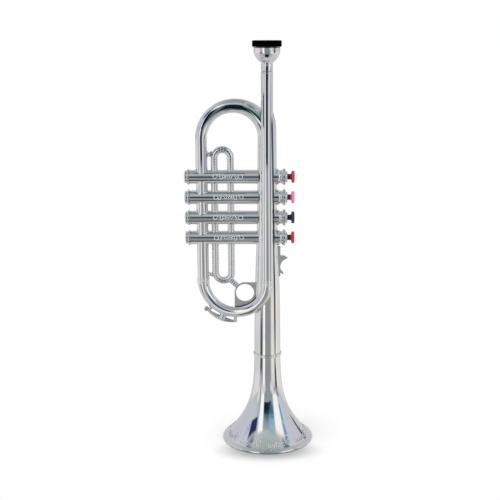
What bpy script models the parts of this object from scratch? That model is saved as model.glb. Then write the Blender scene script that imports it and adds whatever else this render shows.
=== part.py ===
"""Toy trumpet of metallised plastic, with a push-fit mouthpiece and four sprung valves.

Lengths are in metres. Z rises from the bell's rim to the mouthpiece. X runs from the
valves' closed ends to their buttons, and -Y is the side that the leadpipe is on.
"""
import math

import bmesh
import bpy
from mathutils import Vector

# Fits shared by all pieces
CLEARANCE = 0.0003
OVERRUN = 0.004
WELD = 0.00001

# Bell and its collar
BELL_LENGTH = 0.0947
BELL_RIM_R = 0.0480
BELL_THROAT_STEP = 0.0002
BELL_WALL = 0.0017
BELL_FLARE_RUN = 0.0375
BELL_FLARE_BEND = 0.0553
BELL_LIP_HEIGHT = 0.0019
BELL_LIP_WIDTH = 0.0026
BELL_LIP_PROUD = 0.0007
BELL_HEIGHT_SHARES = (1.0, 0.80, 0.64, 0.51, 0.405, 0.315, 0.24, 0.175, 0.12, 0.075, 0.04)
COLLAR_HEIGHT = 0.0030
COLLAR_WALL = 0.0008
COLLAR_SOFTEN = 0.0004

# Bell tube, whose foot sets the bell's throat
TUBE_FOOT_R = 0.0139
TUBE_KNEE_R = 0.0130
TUBE_KNEE_DROP = 0.0113
TUBE_WAIST_R = 0.0107
TUBE_WAIST_RISE = 0.0110
TUBE_SHOULDER_R = 0.0094
TUBE_SHOULDER_RISE = 0.0123
TUBE_NECK_R = 0.0062
TUBE_NECK_RISE = 0.0150
TUBE_CROWN_R = 0.0048
TUBE_CROWN_RISE = 0.0035
TUBE_WALL = 0.0015
SPIGOT_LENGTH = 0.0080

# Heights along the body
TUNING_RISE = 0.0803
LIMB_LOWER_LENGTH = 0.0452
VALVE_PITCH = 0.02115
LIMB_UPPER_LENGTH = 0.0387
LEADPIPE_RISE = 0.0365

# Crooks: the wide bends at the top and the bottom, and the limb that joins them
CROOK_R = 0.03345
LIMB_R = 0.00605
BELL_BOW_GROWTH_SHARE = 1.75
TUNING_BOW_WAIST = 0.00065
TUNING_STRAIGHT = 0.0015
FERRULE_RISE = 0.0026
FERRULE_DROP = 0.0034
FERRULE_WALL = 0.0005
FERRULE_BEAD = 0.0003

# Leadpipe
LEADPIPE_OFFSET = 0.0120
LEADPIPE_R = 0.0061
LEADPIPE_BORE_R = 0.0046
LEADPIPE_LIP_PROUD = 0.0004
LEADPIPE_LIP_HEIGHT = 0.0032

# Mouthpiece
SHANK_R = LEADPIPE_BORE_R - CLEARANCE
SHANK_LENGTH = 0.0200
SHANK_TIP_CLEARANCE = 0.0020
STEM_R = 0.0060
STEM_HEIGHT = 0.0095
CUP_HEIGHT = 0.0140
CUP_LIP_WALL = 0.0013
CUP_SHOULDER = 0.00204
BOWL_R = 0.0090
BOWL_FLOOR = 0.0018
THROAT_R = 0.0021
BACKBORE_R = 0.0030
RIM_WALL = 0.0043
RIM_HEIGHT = 0.0066
RIM_SOFTEN = 0.0009
RIM_LIP = 0.0014
CUP_OUTLINE_SHARES = ((0.60, 0.961), (0.41, 0.883), (0.275, 0.802), (0.135, 0.683), (0.0, 0.53))
BOWL_OUTLINE_SHARES = ((0.0, 0.24), (0.08, 0.52), (0.22, 0.78), (0.42, 0.93), (0.70, 1.0))

# Valves
VALVE_COUNT = 4
CASING_R = 0.00705
CASING_WALL = 0.00145
VALVE_OVERHANG = 0.0177
BOTTOM_CAP_LENGTH = 0.0050
BOTTOM_CAP_R = 0.0066
BOTTOM_CAP_CROWN_R = 0.0054
BOTTOM_CAP_CROWN = 0.0007
BOTTOM_FLANGE_R = 0.0080
BOTTOM_FLANGE_WIDTH = 0.0017
BOTTOM_SPIGOT_LENGTH = 0.0050
TOP_CAP_R = 0.0069
TOP_BASE_FLANGE_R = 0.0080
TOP_BASE_FLANGE_WIDTH = 0.0010
TOP_FLANGE_R = 0.0085
TOP_FLANGE_WIDTH = 0.0023
TOP_FLANGE_X = 0.0163
TOP_NECK_R = 0.0056
TOP_NECK_LENGTH = 0.0022
BUTTON_STROKE = 0.0036
BUTTON_REST_GAP = 0.0005
BUTTON_HEAD_R = 0.00615
BUTTON_HEAD_THICKNESS = 0.0033
BUTTON_EDGE = 0.0006
STEM_ROD_R = 0.00285
SEAT_X = -0.0166
SEAT_AIR_GAP = 0.00075
PAD_SPACE = 0.0006
PAD_THICKNESS = 0.0016
PAD_PEG_R = 0.0015
PAD_PEG_LENGTH = 0.0044

# Reeds and springs inside the casings
REED_SPACE = 0.0046
REED_PLUG_LENGTH = 0.0070
REED_TONGUE_LENGTH = 0.0170
REED_TONGUE_WIDTH_SHARE = 0.66
REED_TONGUE_THICKNESS = 0.0014
REED_SLOT_LENGTH_SHARE = 0.70
REED_SLOT_WIDTH_SHARE = 0.54
REED_LENGTH_SHARE = 0.88
REED_WIDTH_SHARE = 0.42
REED_THICKNESS = 0.0003
SPRING_WIRE_R = 0.00035
SPRING_SPACE = 0.00095
SPRING_TURNS = 4
SPRING_POINTS_PER_TURN = 8

# Small slide: the narrow loop that crosses the casings
SLIDE_GAP = 0.0034
SLIDE_BEND_R = 0.00825
SLIDE_TUBE_R = 0.0036
SLIDE_RISE = 0.0197
SLIDE_FOOT_RISE = 0.0075
UPPER_BRACE_R = 0.0034
UPPER_BRACE_RISE = 0.0034
UPPER_BRACE_WAIST = 0.0011
LOWER_BRACE_R = 0.0024
LOWER_BRACE_RISE = -0.0017
LOWER_BRACE_WAIST = 0.0005

# Finger ring, finger hook and water key
RING_HOLE_R = 0.0093
RING_BAND = 0.0017
RING_SIDE_BAND = 0.0010
RING_DROP = 0.0129
RING_DEPTH = -0.0035
RING_THICKNESS = 0.0030
RING_STRUT_WIDTH = 0.0053
HOOK_HEIGHT = 0.0318
HOOK_REACH = 0.0076
HOOK_PROUD = 0.0019
HOOK_THICKNESS = 0.0046
HOOK_DROP = 0.0010
HOOK_OUTLINE_SHARES = (
    (0.0, 1.0), (0.0, 0.71), (0.55, 0.69), (1.0, 0.62), (0.63, 0.57), (0.19, 0.478), (0.0, 0.36),
    (0.0, 0.25), (0.09, 0.22), (0.40, 0.13), (0.40, 0.09), (0.28, 0.07), (0.0, 0.12), (0.0, 0.0),
)
KEY_BAR_R = 0.0015
KEY_ARC_GAP = 0.0041
KEY_START_DEG = 225
KEY_END_DEG = 272
KEY_KNOB_R = 0.0021
KEY_KNOB_WIDTH = 0.0060
KEY_POST_R = 0.0018
KEY_LEFT_POST_DEG = 229
KEY_RIGHT_POST_DEG = 270
KEY_PAD_R = 0.0046
KEY_PAD_DEG = 251

# Numbers of facets
BELL_STEPS = 32
TUBE_STEPS = 24
VALVE_STEPS = 16
BUTTON_STEPS = 14
MOUTHPIECE_STEPS = 24
CROOK_BENDS = 18
SLIDE_BENDS = 12
RING_BENDS = 24
KEY_BENDS = 8

# Sizes and places worked out from the sizes above
LIMB_X = -2 * CROOK_R
VALVE_REACH = VALVE_OVERHANG - LIMB_X
AXIS_X = (VALVE_REACH - BELL_RIM_R) / 2
BELL_THROAT_R = TUBE_FOOT_R - BELL_THROAT_STEP
CUP_NECK_R = BOWL_R + CUP_LIP_WALL
CUP_R = CUP_NECK_R + CUP_SHOULDER
RIM_R = CUP_NECK_R + RIM_WALL
TUBE_FOOT_Z = BELL_LENGTH + CLEARANCE
TUNING_Z = TUBE_FOOT_Z + TUNING_RISE
TUNING_JOINT_Z = TUNING_Z + TUNING_STRAIGHT
VALVE_LOW_Z = TUNING_Z + LIMB_LOWER_LENGTH
VALVE_TOP_Z = VALVE_LOW_Z + (VALVE_COUNT - 1) * VALVE_PITCH
BELL_BOW_Z = VALVE_TOP_Z + LIMB_UPPER_LENGTH
SHOULDER_Z = BELL_BOW_Z + TUBE_SHOULDER_RISE
NECK_Z = SHOULDER_Z + TUBE_NECK_RISE
CROWN_Z = NECK_Z + TUBE_CROWN_RISE
LEADPIPE_TOP_Z = CROWN_Z + LEADPIPE_RISE
VALVE_Z = [VALVE_TOP_Z - number * VALVE_PITCH for number in range(VALVE_COUNT)]
SLIDE_X = LIMB_X + LIMB_R + SLIDE_GAP + SLIDE_TUBE_R + SLIDE_BEND_R
SLIDE_TOP_Z = VALVE_TOP_Z + SLIDE_RISE
SLIDE_LOW_Z = TUNING_Z + SLIDE_FOOT_RISE
CASING_BORE_R = CASING_R - CASING_WALL
SEAT_HOLE_R = STEM_ROD_R + SEAT_AIR_GAP
PAD_R = CASING_BORE_R - PAD_SPACE
SPRING_COIL_R = CASING_BORE_R - SPRING_SPACE - SPRING_WIRE_R
REED_TONGUE_X = SEAT_X - PAD_PEG_LENGTH - BUTTON_STROKE - REED_SPACE
REED_PLUG_X = REED_TONGUE_X - REED_TONGUE_LENGTH
FERRULE_R = LIMB_R + CLEARANCE + FERRULE_WALL + FERRULE_BEAD
TUBE_STATIONS = (
    (CROWN_Z, TUBE_CROWN_R),
    (NECK_Z, TUBE_NECK_R),
    (SHOULDER_Z, TUBE_SHOULDER_R),
    (VALVE_LOW_Z + TUBE_WAIST_RISE, TUBE_WAIST_R),
    (TUNING_Z - TUBE_KNEE_DROP, TUBE_KNEE_R),
    (TUBE_FOOT_Z, TUBE_FOOT_R),
)


def clear_scene():
    """Remove what the opened file holds."""
    for item in list(bpy.data.objects):
        bpy.data.objects.remove(item, do_unlink=True)


def make_collection(name):
    """Add a collection to the scene."""
    collection = bpy.data.collections.new(name)
    bpy.context.scene.collection.children.link(collection)
    return collection


def make_material(name, colour, roughness, metallic):
    """Give one plain Principled material."""
    material = bpy.data.materials.new(name)
    material.use_nodes = True
    shader = material.node_tree.nodes["Principled BSDF"]
    shader.inputs["Base Color"].default_value = (*colour, 1.0)
    shader.inputs["Roughness"].default_value = roughness
    shader.inputs["Metallic"].default_value = metallic
    return material


clear_scene()
PARTS = make_collection("toy_trumpet")
CUTTERS = make_collection("cutters")
PLATED = make_material("metallised_plastic", (0.78, 0.79, 0.81), 0.12, 1.0)
BLACK = make_material("black_soft_plastic", (0.02, 0.02, 0.022), 0.45, 0.0)
WHITE = make_material("white_plastic", (0.80, 0.80, 0.78), 0.40, 0.0)
SILICONE = make_material("pad_silicone", (0.70, 0.68, 0.62), 0.60, 0.0)
BRASS = make_material("reed_brass", (0.72, 0.52, 0.22), 0.30, 1.0)
STEEL = make_material("spring_steel", (0.55, 0.55, 0.56), 0.30, 1.0)
RED = make_material("button_red", (0.60, 0.04, 0.06), 0.30, 0.0)
PINK = make_material("button_pink", (0.86, 0.28, 0.44), 0.30, 0.0)
NAVY = make_material("button_navy", (0.03, 0.05, 0.22), 0.30, 0.0)
BUTTON_COLOURS = (RED, PINK, NAVY, RED)


def place(mesh, name, material=None, origin=(0.0, 0.0, 0.0), along="Z"):
    """Put a mesh in the scene: as a part when it has a material, and as a cutter without."""
    item = bpy.data.objects.new(name, mesh)
    item.location = Vector(origin) + Vector((AXIS_X, 0.0, 0.0))
    if along == "X":
        item.rotation_euler = (0.0, math.pi / 2, 0.0)
    if along == "Y":
        item.rotation_euler = (math.pi / 2, 0.0, 0.0)
    if material:
        mesh.materials.append(material)
        PARTS.objects.link(item)
    else:
        item.hide_render = True
        item.display_type = "WIRE"
        CUTTERS.objects.link(item)
    return item


def turned(name, outline, steps, material=None, origin=(0.0, 0.0, 0.0), along="Z", ring=False):
    """Turn an outline of (radius, height) points that runs down its outer side."""
    mesh = bpy.data.meshes.new(name)
    shape = bmesh.new()
    points = [shape.verts.new((radius, 0.0, height)) for radius, height in outline]
    pairs = list(zip(points, points[1:]))
    if ring:
        pairs.append((points[-1], points[0]))
    for first, second in pairs:
        shape.edges.new((first, second))
    shape.to_mesh(mesh)
    shape.free()
    item = place(mesh, name, material, origin, along)
    screw = item.modifiers.new("turn", "SCREW")
    screw.steps = steps
    screw.render_steps = steps
    screw.use_merge_vertices = True
    screw.merge_threshold = WELD
    screw.use_smooth_shade = True
    return item


def rod(name, radius, low, high, steps, material=None, origin=(0.0, 0.0, 0.0), along="Z"):
    """Turn a plain cylinder between two places on its axis."""
    outline = ((0.0, high), (radius, high), (radius, low), (0.0, low))
    return turned(name, outline, steps, material, origin, along)


def to_mesh(curve, name, material=None):
    """Turn a curve into a closed mesh in the model's frame."""
    guide = bpy.data.objects.new(name + "_guide", curve)
    CUTTERS.objects.link(guide)
    evaluated = guide.evaluated_get(bpy.context.evaluated_depsgraph_get())
    mesh = bpy.data.meshes.new_from_object(evaluated)
    mesh.name = name
    bpy.data.objects.remove(guide, do_unlink=True)
    shape = bmesh.new()
    shape.from_mesh(mesh)
    bmesh.ops.remove_doubles(shape, verts=shape.verts, dist=WELD)
    bmesh.ops.recalc_face_normals(shape, faces=shape.faces)
    shape.to_mesh(mesh)
    shape.free()
    mesh.materials.clear()
    mesh.shade_smooth()
    return mesh


def tube(name, path, radii, roundness, material=None):
    """Run a tube along a path, with a radius at each point."""
    curve = bpy.data.curves.new(name, "CURVE")
    curve.dimensions = "3D"
    curve.bevel_depth = radii[0]
    curve.bevel_resolution = roundness
    curve.use_fill_caps = True
    spline = curve.splines.new("POLY")
    spline.points.add(len(path) - 1)
    for point, position, radius in zip(spline.points, path, radii):
        point.co = (*position, 1.0)
        point.radius = radius / radii[0]
    return place(to_mesh(curve, name), name, material)


def plate(name, outlines, thickness, material=None, depth=0.0):
    """Extrude flat outlines of (x, z) points, holes among them, to both sides of a depth."""
    curve = bpy.data.curves.new(name, "CURVE")
    curve.dimensions = "2D"
    curve.fill_mode = "BOTH"
    curve.extrude = thickness / 2
    for outline in outlines:
        spline = curve.splines.new("POLY")
        spline.points.add(len(outline) - 1)
        spline.use_cyclic_u = True
        for point, (x, z) in zip(spline.points, outline):
            point.co = (x, z, 0.0, 1.0)
    return place(to_mesh(curve, name), name, material, (0.0, depth, 0.0), "Y")


def combine(item, other, operation):
    """Join or cut one solid with another."""
    step = item.modifiers.new(operation.lower(), "BOOLEAN")
    step.operation = operation
    step.solver = "EXACT"
    step.object = other
    return item


def cut(item, *others):
    """Cut a solid by others."""
    for other in others:
        combine(item, other, "DIFFERENCE")
    return item


def join(item, *others):
    """Join others to a solid."""
    for other in others:
        combine(item, other, "UNION")
    return item


def bell_radius(height):
    """Outer radius of the bell's wall at a height above its rim."""
    flare = BELL_RIM_R - BELL_LIP_PROUD - BELL_THROAT_R
    return BELL_THROAT_R + flare * math.exp(-height / BELL_FLARE_RUN - (height / BELL_FLARE_BEND) ** 2)


def bell_inner_radius(height):
    """Inner radius of the bell, one wall in along the surface's normal."""
    flare = bell_radius(height) - BELL_THROAT_R
    slope = flare * (1 / BELL_FLARE_RUN + 2 * height / BELL_FLARE_BEND ** 2)
    return bell_radius(height) - BELL_WALL * math.hypot(1, slope)


def tube_radius(height):
    """Outer radius of the bell tube at a height."""
    for (upper, upper_radius), (lower, lower_radius) in zip(TUBE_STATIONS, TUBE_STATIONS[1:]):
        if height >= lower:
            rise_share = (height - lower) / (upper - lower)
            return lower_radius + (upper_radius - lower_radius) * rise_share
    return TUBE_FOOT_R


def make_bell():
    """Flared bell with a flat-bottomed lip, and the collar over its joint."""
    heights = [share * BELL_LENGTH for share in BELL_HEIGHT_SHARES]
    outer = [(bell_radius(height), height) for height in heights]
    lip = [
        (BELL_RIM_R, BELL_LIP_HEIGHT),
        (BELL_RIM_R, 0.0),
        (BELL_RIM_R - BELL_LIP_WIDTH, 0.0),
    ]
    inner = [(bell_inner_radius(height), height) for height in reversed(heights)]
    turned("bell", outer + lip + inner, BELL_STEPS, PLATED, ring=True)
    bore = max(bell_radius(BELL_LENGTH - COLLAR_HEIGHT / 2), TUBE_FOOT_R) + CLEARANCE
    face = bore + COLLAR_WALL
    top = BELL_LENGTH + COLLAR_HEIGHT / 2
    bottom = BELL_LENGTH - COLLAR_HEIGHT / 2
    outline = (
        (bore, top), (face - COLLAR_SOFTEN, top), (face, top - COLLAR_SOFTEN),
        (face, bottom + COLLAR_SOFTEN), (face - COLLAR_SOFTEN, bottom), (bore, bottom),
    )
    turned("bell_collar", outline, TUBE_STEPS, PLATED, ring=True)


def make_bell_tube():
    """Conical tube with a closed shoulder, holes for the valve stems and a spigot in the bell."""
    spigot = bell_inner_radius(BELL_LENGTH) - CLEARANCE
    tip = TUBE_FOOT_Z - SPIGOT_LENGTH
    outline = [(0.0, CROWN_Z)]
    outline += [(radius, height) for height, radius in TUBE_STATIONS]
    outline += [(spigot, TUBE_FOOT_Z), (spigot, tip), (spigot - TUBE_WALL, tip)]
    outline += [(spigot - TUBE_WALL, TUBE_FOOT_Z), (TUBE_FOOT_R - TUBE_WALL, TUBE_FOOT_Z + TUBE_WALL)]
    outline += [(radius - TUBE_WALL, height) for height, radius in reversed(TUBE_STATIONS[2:-1])]
    outline += [(0.0, SHOULDER_Z)]
    body = turned("bell_tube", outline, TUBE_STEPS, PLATED)
    reach = TUBE_FOOT_R + OVERRUN
    for number, height in enumerate(VALVE_Z, 1):
        name = f"stem_hole_{number}"
        hole = rod(name, STEM_ROD_R + CLEARANCE, -reach, reach, BUTTON_STEPS, None, (0.0, 0.0, height), "X")
        cut(body, hole)


def make_tube_envelope():
    """Solid that clears the bell tube, for cutting what meets it."""
    outline = [(0.0, CROWN_Z + CLEARANCE)]
    outline += [(TUBE_CROWN_R + CLEARANCE, CROWN_Z + CLEARANCE)]
    outline += [(radius + CLEARANCE, height) for height, radius in TUBE_STATIONS[1:]]
    outline += [(0.0, TUBE_FOOT_Z)]
    return turned("tube_envelope", outline, TUBE_STEPS)


def crook_point(angle, radius, height, direction):
    """Point on a half circle about the crook's centre; the angle is from +X."""
    across = radius * math.cos(angle)
    along = radius * math.sin(angle)
    return Vector((across - CROOK_R, 0.0, height + direction * along))


def make_bell_bow(envelope):
    """Upper bend, which widens from the limb to the bell tube, and a solid that clears it."""
    path = [Vector((LIMB_X, 0.0, VALVE_TOP_Z))]
    radii = [LIMB_R]
    growth = tube_radius(BELL_BOW_Z) - LIMB_R
    for step in range(CROOK_BENDS + 1):
        share = step / CROOK_BENDS
        path.append(crook_point(math.pi * (1 - share), CROOK_R, BELL_BOW_Z, 1))
        radii.append(LIMB_R + growth * share ** BELL_BOW_GROWTH_SHARE)
    bow = tube("bell_bow", path, radii, 5, PLATED)
    cut(bow, envelope, casing_envelope(1))
    return tube("bell_bow_envelope", path, [radius + CLEARANCE for radius in radii], 5)


def tuning_point(degrees, radius):
    """Point about the tuning bow's centre, on the slanted plane that the bow lies in."""
    angle = math.radians(degrees)
    point = crook_point(angle, radius, TUNING_Z, 1)
    point.y = -LEADPIPE_OFFSET * (1 + math.cos(angle)) / 2
    return point


def make_tuning_bow(envelope):
    """Lower bend, from the limb's foot to the leadpipe's foot, and a solid that clears it."""
    path = [Vector((LIMB_X, 0.0, TUNING_JOINT_Z))]
    radii = [LIMB_R]
    for step in range(CROOK_BENDS + 1):
        share = step / CROOK_BENDS
        path.append(tuning_point(180 + 180 * share, CROOK_R))
        radii.append(LIMB_R - TUNING_BOW_WAIST * math.sin(math.pi * share))
    path.append(Vector((0.0, -LEADPIPE_OFFSET, TUNING_JOINT_Z)))
    radii.append(LIMB_R)
    bow = tube("tuning_bow", path, radii, 4, PLATED)
    cut(bow, envelope)
    return tube("tuning_bow_envelope", path, [radius + CLEARANCE for radius in radii], 4)


def make_leadpipe(envelope, bow_envelope):
    """Mouthpiece receiver and pipe, set into the bell tube's front."""
    lip = LEADPIPE_R + LEADPIPE_LIP_PROUD
    lip_foot = LEADPIPE_TOP_Z - LEADPIPE_LIP_HEIGHT
    bore_foot = LEADPIPE_TOP_Z - SHANK_LENGTH - SHANK_TIP_CLEARANCE
    foot = TUNING_JOINT_Z + CLEARANCE
    outline = (
        (0.0, bore_foot), (LEADPIPE_BORE_R, bore_foot), (LEADPIPE_BORE_R, LEADPIPE_TOP_Z),
        (lip, LEADPIPE_TOP_Z), (lip, lip_foot), (LEADPIPE_R, lip_foot - LEADPIPE_LIP_PROUD),
        (LEADPIPE_R, foot), (0.0, foot),
    )
    pipe = turned("leadpipe", outline, 24, PLATED, (0.0, -LEADPIPE_OFFSET, 0.0))
    cut(pipe, envelope, bow_envelope)


def make_ferrule(name, pipe_radius, origin):
    """Beaded ring over a joint of two tubes."""
    bore = pipe_radius + CLEARANCE
    face = bore + FERRULE_WALL
    bead = face + FERRULE_BEAD
    outline = (
        (bore, FERRULE_RISE), (face, FERRULE_RISE), (bead, FERRULE_RISE - FERRULE_BEAD),
        (bead, FERRULE_RISE / 2), (face, FERRULE_RISE / 4), (face, -FERRULE_DROP / 4),
        (bead, -FERRULE_DROP / 2), (bead, FERRULE_BEAD - FERRULE_DROP), (face, -FERRULE_DROP),
        (bore, -FERRULE_DROP),
    )
    return turned(name, outline, 20, PLATED, origin, ring=True)


def make_limb(envelope):
    """Foot of the left limb and the two ferrules over the tuning bow's joints."""
    foot = TUNING_JOINT_Z + CLEARANCE
    limb = rod("limb_lower", LIMB_R, foot, VALVE_LOW_Z, 20, PLATED, (LIMB_X, 0.0, 0.0))
    cut(limb, casing_envelope(VALVE_COUNT))
    make_ferrule("ferrule_left", LIMB_R, (LIMB_X, 0.0, TUNING_Z))
    right = make_ferrule("ferrule_right", LEADPIPE_R, (0.0, -LEADPIPE_OFFSET, TUNING_Z))
    cut(right, envelope)


def make_mouthpiece():
    """Cup with its shank and bore, and the soft ring on its mouth."""
    seat = LEADPIPE_TOP_Z + CLEARANCE
    cup_foot = seat + STEM_HEIGHT
    cup_top = cup_foot + CUP_HEIGHT
    neck_top = cup_top + RIM_HEIGHT - RIM_LIP
    tip = seat - SHANK_LENGTH
    floor = cup_foot + BOWL_FLOOR
    outline = [(BOWL_R, neck_top), (CUP_NECK_R, neck_top), (CUP_NECK_R, cup_top), (CUP_R, cup_top)]
    outline += [(CUP_R * wide, cup_foot + CUP_HEIGHT * rise) for rise, wide in CUP_OUTLINE_SHARES]
    outline += [(STEM_R, cup_foot - STEM_HEIGHT / 8), (STEM_R, seat), (SHANK_R, seat), (SHANK_R, tip)]
    outline += [(BACKBORE_R, tip), (THROAT_R, cup_foot)]
    outline += [(BOWL_R * wide, floor + (cup_top - floor) * rise) for rise, wide in BOWL_OUTLINE_SHARES]
    origin = (0.0, -LEADPIPE_OFFSET, 0.0)
    turned("mouthpiece_cup", outline, MOUTHPIECE_STEPS, PLATED, origin, ring=True)
    bottom = cup_top + CLEARANCE
    top = cup_top + RIM_HEIGHT
    bore = CUP_NECK_R + CLEARANCE
    outline = (
        (bore + RIM_LIP, top), (RIM_R - RIM_SOFTEN, top), (RIM_R, top - RIM_SOFTEN),
        (RIM_R, bottom + RIM_SOFTEN), (RIM_R - RIM_SOFTEN, bottom), (bore, bottom), (bore, top - RIM_LIP),
    )
    turned("mouthpiece_rim", outline, MOUTHPIECE_STEPS, BLACK, origin, ring=True)


def casing_envelope(number):
    """Solid that clears one valve casing."""
    low = -VALVE_REACH + BOTTOM_CAP_LENGTH
    origin = (0.0, 0.0, VALVE_Z[number - 1])
    name = f"casing_envelope_{number}"
    if name not in bpy.data.objects:
        rod(name, CASING_R + CLEARANCE, low, SEAT_X, VALVE_STEPS, None, origin, "X")
    return bpy.data.objects[name]


def make_casing(number, envelope):
    """Valve casing with its seat, and the stubs that carry the next casing."""
    height = VALVE_Z[number - 1]
    origin = (0.0, 0.0, height)
    left = -VALVE_REACH + BOTTOM_CAP_LENGTH + CLEARANCE
    right = -TUBE_SHOULDER_R / 2
    casing = rod(f"valve_casing_{number}", CASING_R, left, right, VALVE_STEPS, PLATED, origin, "X")
    if number < VALVE_COUNT:
        for label, x, radius, steps in (
            ("limb", LIMB_X, LIMB_R, 20),
            ("slide_left", SLIDE_X - SLIDE_BEND_R, SLIDE_TUBE_R, 12),
            ("slide_right", SLIDE_X + SLIDE_BEND_R, SLIDE_TUBE_R, 12),
        ):
            name = f"{label}_stub_{number}"
            stub = rod(name, radius, height - VALVE_PITCH, height, steps, None, (x, 0.0, 0.0))
            cut(stub, casing_envelope(number + 1))
            join(casing, stub)
    bore = (
        (0.0, OVERRUN), (SEAT_HOLE_R, OVERRUN), (SEAT_HOLE_R, SEAT_X),
        (CASING_BORE_R, SEAT_X), (CASING_BORE_R, left - OVERRUN), (0.0, left - OVERRUN),
    )
    cut(casing, turned(f"casing_bore_{number}", bore, VALVE_STEPS, None, origin, "X"), envelope)


def make_bottom_cap(number):
    """Flanged plug that closes a casing's left end."""
    crown = -VALVE_REACH
    shoulder = crown + BOTTOM_CAP_LENGTH
    flange = shoulder - BOTTOM_FLANGE_WIDTH
    spigot = CASING_BORE_R - CLEARANCE
    tip = shoulder + BOTTOM_SPIGOT_LENGTH
    outline = (
        (0.0, tip), (spigot, tip), (spigot, shoulder), (BOTTOM_FLANGE_R, shoulder),
        (BOTTOM_FLANGE_R, flange), (BOTTOM_CAP_R, flange), (BOTTOM_CAP_R, crown + BOTTOM_CAP_CROWN),
        (BOTTOM_CAP_CROWN_R, crown), (0.0, crown),
    )
    origin = (0.0, 0.0, VALVE_Z[number - 1])
    turned(f"bottom_cap_{number}", outline, VALVE_STEPS, PLATED, origin, "X")


def make_top_cap(number, envelope):
    """Flanged guide for a valve stem, seated on the bell tube."""
    height = VALVE_Z[number - 1]
    base = tube_radius(height) + TOP_BASE_FLANGE_WIDTH
    flange = TOP_FLANGE_X + TOP_FLANGE_WIDTH
    neck = flange + TOP_NECK_LENGTH
    root = TUBE_SHOULDER_R / 2
    guide = STEM_ROD_R + CLEARANCE
    outline = (
        (guide, neck), (TOP_NECK_R, neck), (TOP_NECK_R, flange), (TOP_FLANGE_R, flange),
        (TOP_FLANGE_R, TOP_FLANGE_X), (TOP_CAP_R, TOP_FLANGE_X), (TOP_CAP_R, base),
        (TOP_BASE_FLANGE_R, base), (TOP_BASE_FLANGE_R, root), (guide, root),
    )
    cap = turned(f"top_cap_{number}", outline, VALVE_STEPS, PLATED, (0.0, 0.0, height), "X", ring=True)
    cut(cap, envelope)


def make_button(number):
    """Button head and stem in one moulding, with the pad on the stem's peg."""
    neck = TOP_FLANGE_X + TOP_FLANGE_WIDTH + TOP_NECK_LENGTH
    under = neck + BUTTON_STROKE + BUTTON_REST_GAP
    face = under + BUTTON_HEAD_THICKNESS
    peg = SEAT_X - PAD_PEG_LENGTH
    outline = (
        (0.0, face), (BUTTON_HEAD_R - BUTTON_EDGE - BUTTON_EDGE, face),
        (BUTTON_HEAD_R, face - BUTTON_EDGE), (BUTTON_HEAD_R, under + BUTTON_EDGE),
        (BUTTON_HEAD_R - BUTTON_EDGE, under), (STEM_ROD_R, under), (STEM_ROD_R, SEAT_X),
        (PAD_PEG_R, SEAT_X), (PAD_PEG_R, peg), (0.0, peg),
    )
    origin = (0.0, 0.0, VALVE_Z[number - 1])
    turned(f"valve_button_{number}", outline, BUTTON_STEPS, BUTTON_COLOURS[number - 1], origin, "X")
    right = SEAT_X - CLEARANCE
    left = right - PAD_THICKNESS
    bore = PAD_PEG_R + CLEARANCE
    outline = ((bore, right), (PAD_R, right), (PAD_R, left), (bore, left))
    turned(f"valve_pad_{number}", outline, BUTTON_STEPS, SILICONE, origin, "X", ring=True)


def make_block(name, low, high, material=None):
    """Box between two corners."""
    mesh = bpy.data.meshes.new(name)
    shape = bmesh.new()
    bmesh.ops.create_cube(shape, size=1.0)
    size = Vector(high) - Vector(low)
    middle = (Vector(high) + Vector(low)) / 2
    bmesh.ops.scale(shape, vec=size, verts=shape.verts)
    bmesh.ops.translate(shape, vec=middle, verts=shape.verts)
    shape.to_mesh(mesh)
    shape.free()
    return place(mesh, name, material)


def make_reed(number):
    """Reed on its slotted holder, which plugs the middle of a casing."""
    height = VALVE_Z[number - 1]
    origin = (0.0, 0.0, height)
    plug = REED_PLUG_X - REED_PLUG_LENGTH
    half = REED_TONGUE_WIDTH_SHARE * (SPRING_COIL_R - SPRING_WIRE_R)
    fit = CASING_BORE_R - CLEARANCE
    holder = rod(f"reed_holder_{number}", fit, plug, REED_PLUG_X, VALVE_STEPS, WHITE, origin, "X")
    low = (REED_PLUG_X - OVERRUN, -REED_TONGUE_THICKNESS, height - half)
    high = (REED_TONGUE_X, 0.0, height + half)
    join(holder, make_block(f"reed_tongue_{number}", low, high))
    slot_half = REED_SLOT_WIDTH_SHARE * half
    slot_edge = REED_TONGUE_LENGTH * (1 - REED_SLOT_LENGTH_SHARE) / 2
    low = (REED_PLUG_X + slot_edge, -REED_TONGUE_THICKNESS - OVERRUN, height - slot_half)
    high = (REED_TONGUE_X - slot_edge, OVERRUN, height + slot_half)
    cut(holder, make_block(f"reed_slot_{number}", low, high))
    reed_half = REED_WIDTH_SHARE * half
    reed_end = REED_PLUG_X + CLEARANCE + REED_TONGUE_LENGTH * REED_LENGTH_SHARE
    low = (REED_PLUG_X + CLEARANCE, CLEARANCE, height - reed_half)
    high = (reed_end, CLEARANCE + REED_THICKNESS, height + reed_half)
    make_block(f"reed_{number}", low, high, BRASS)


def make_spring(number):
    """Coil spring from the reed holder to the pad."""
    height = VALVE_Z[number - 1]
    start = REED_PLUG_X + CLEARANCE + SPRING_WIRE_R
    end = SEAT_X - CLEARANCE - PAD_THICKNESS - CLEARANCE - SPRING_WIRE_R
    count = SPRING_TURNS * SPRING_POINTS_PER_TURN
    path = []
    for step in range(count + 1):
        angle = 2 * math.pi * step / SPRING_POINTS_PER_TURN
        path.append(Vector((
            start + (end - start) * step / count,
            SPRING_COIL_R * math.cos(angle),
            height + SPRING_COIL_R * math.sin(angle),
        )))
    tube(f"return_spring_{number}", path, [SPRING_WIRE_R] * len(path), 0, STEEL)


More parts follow.
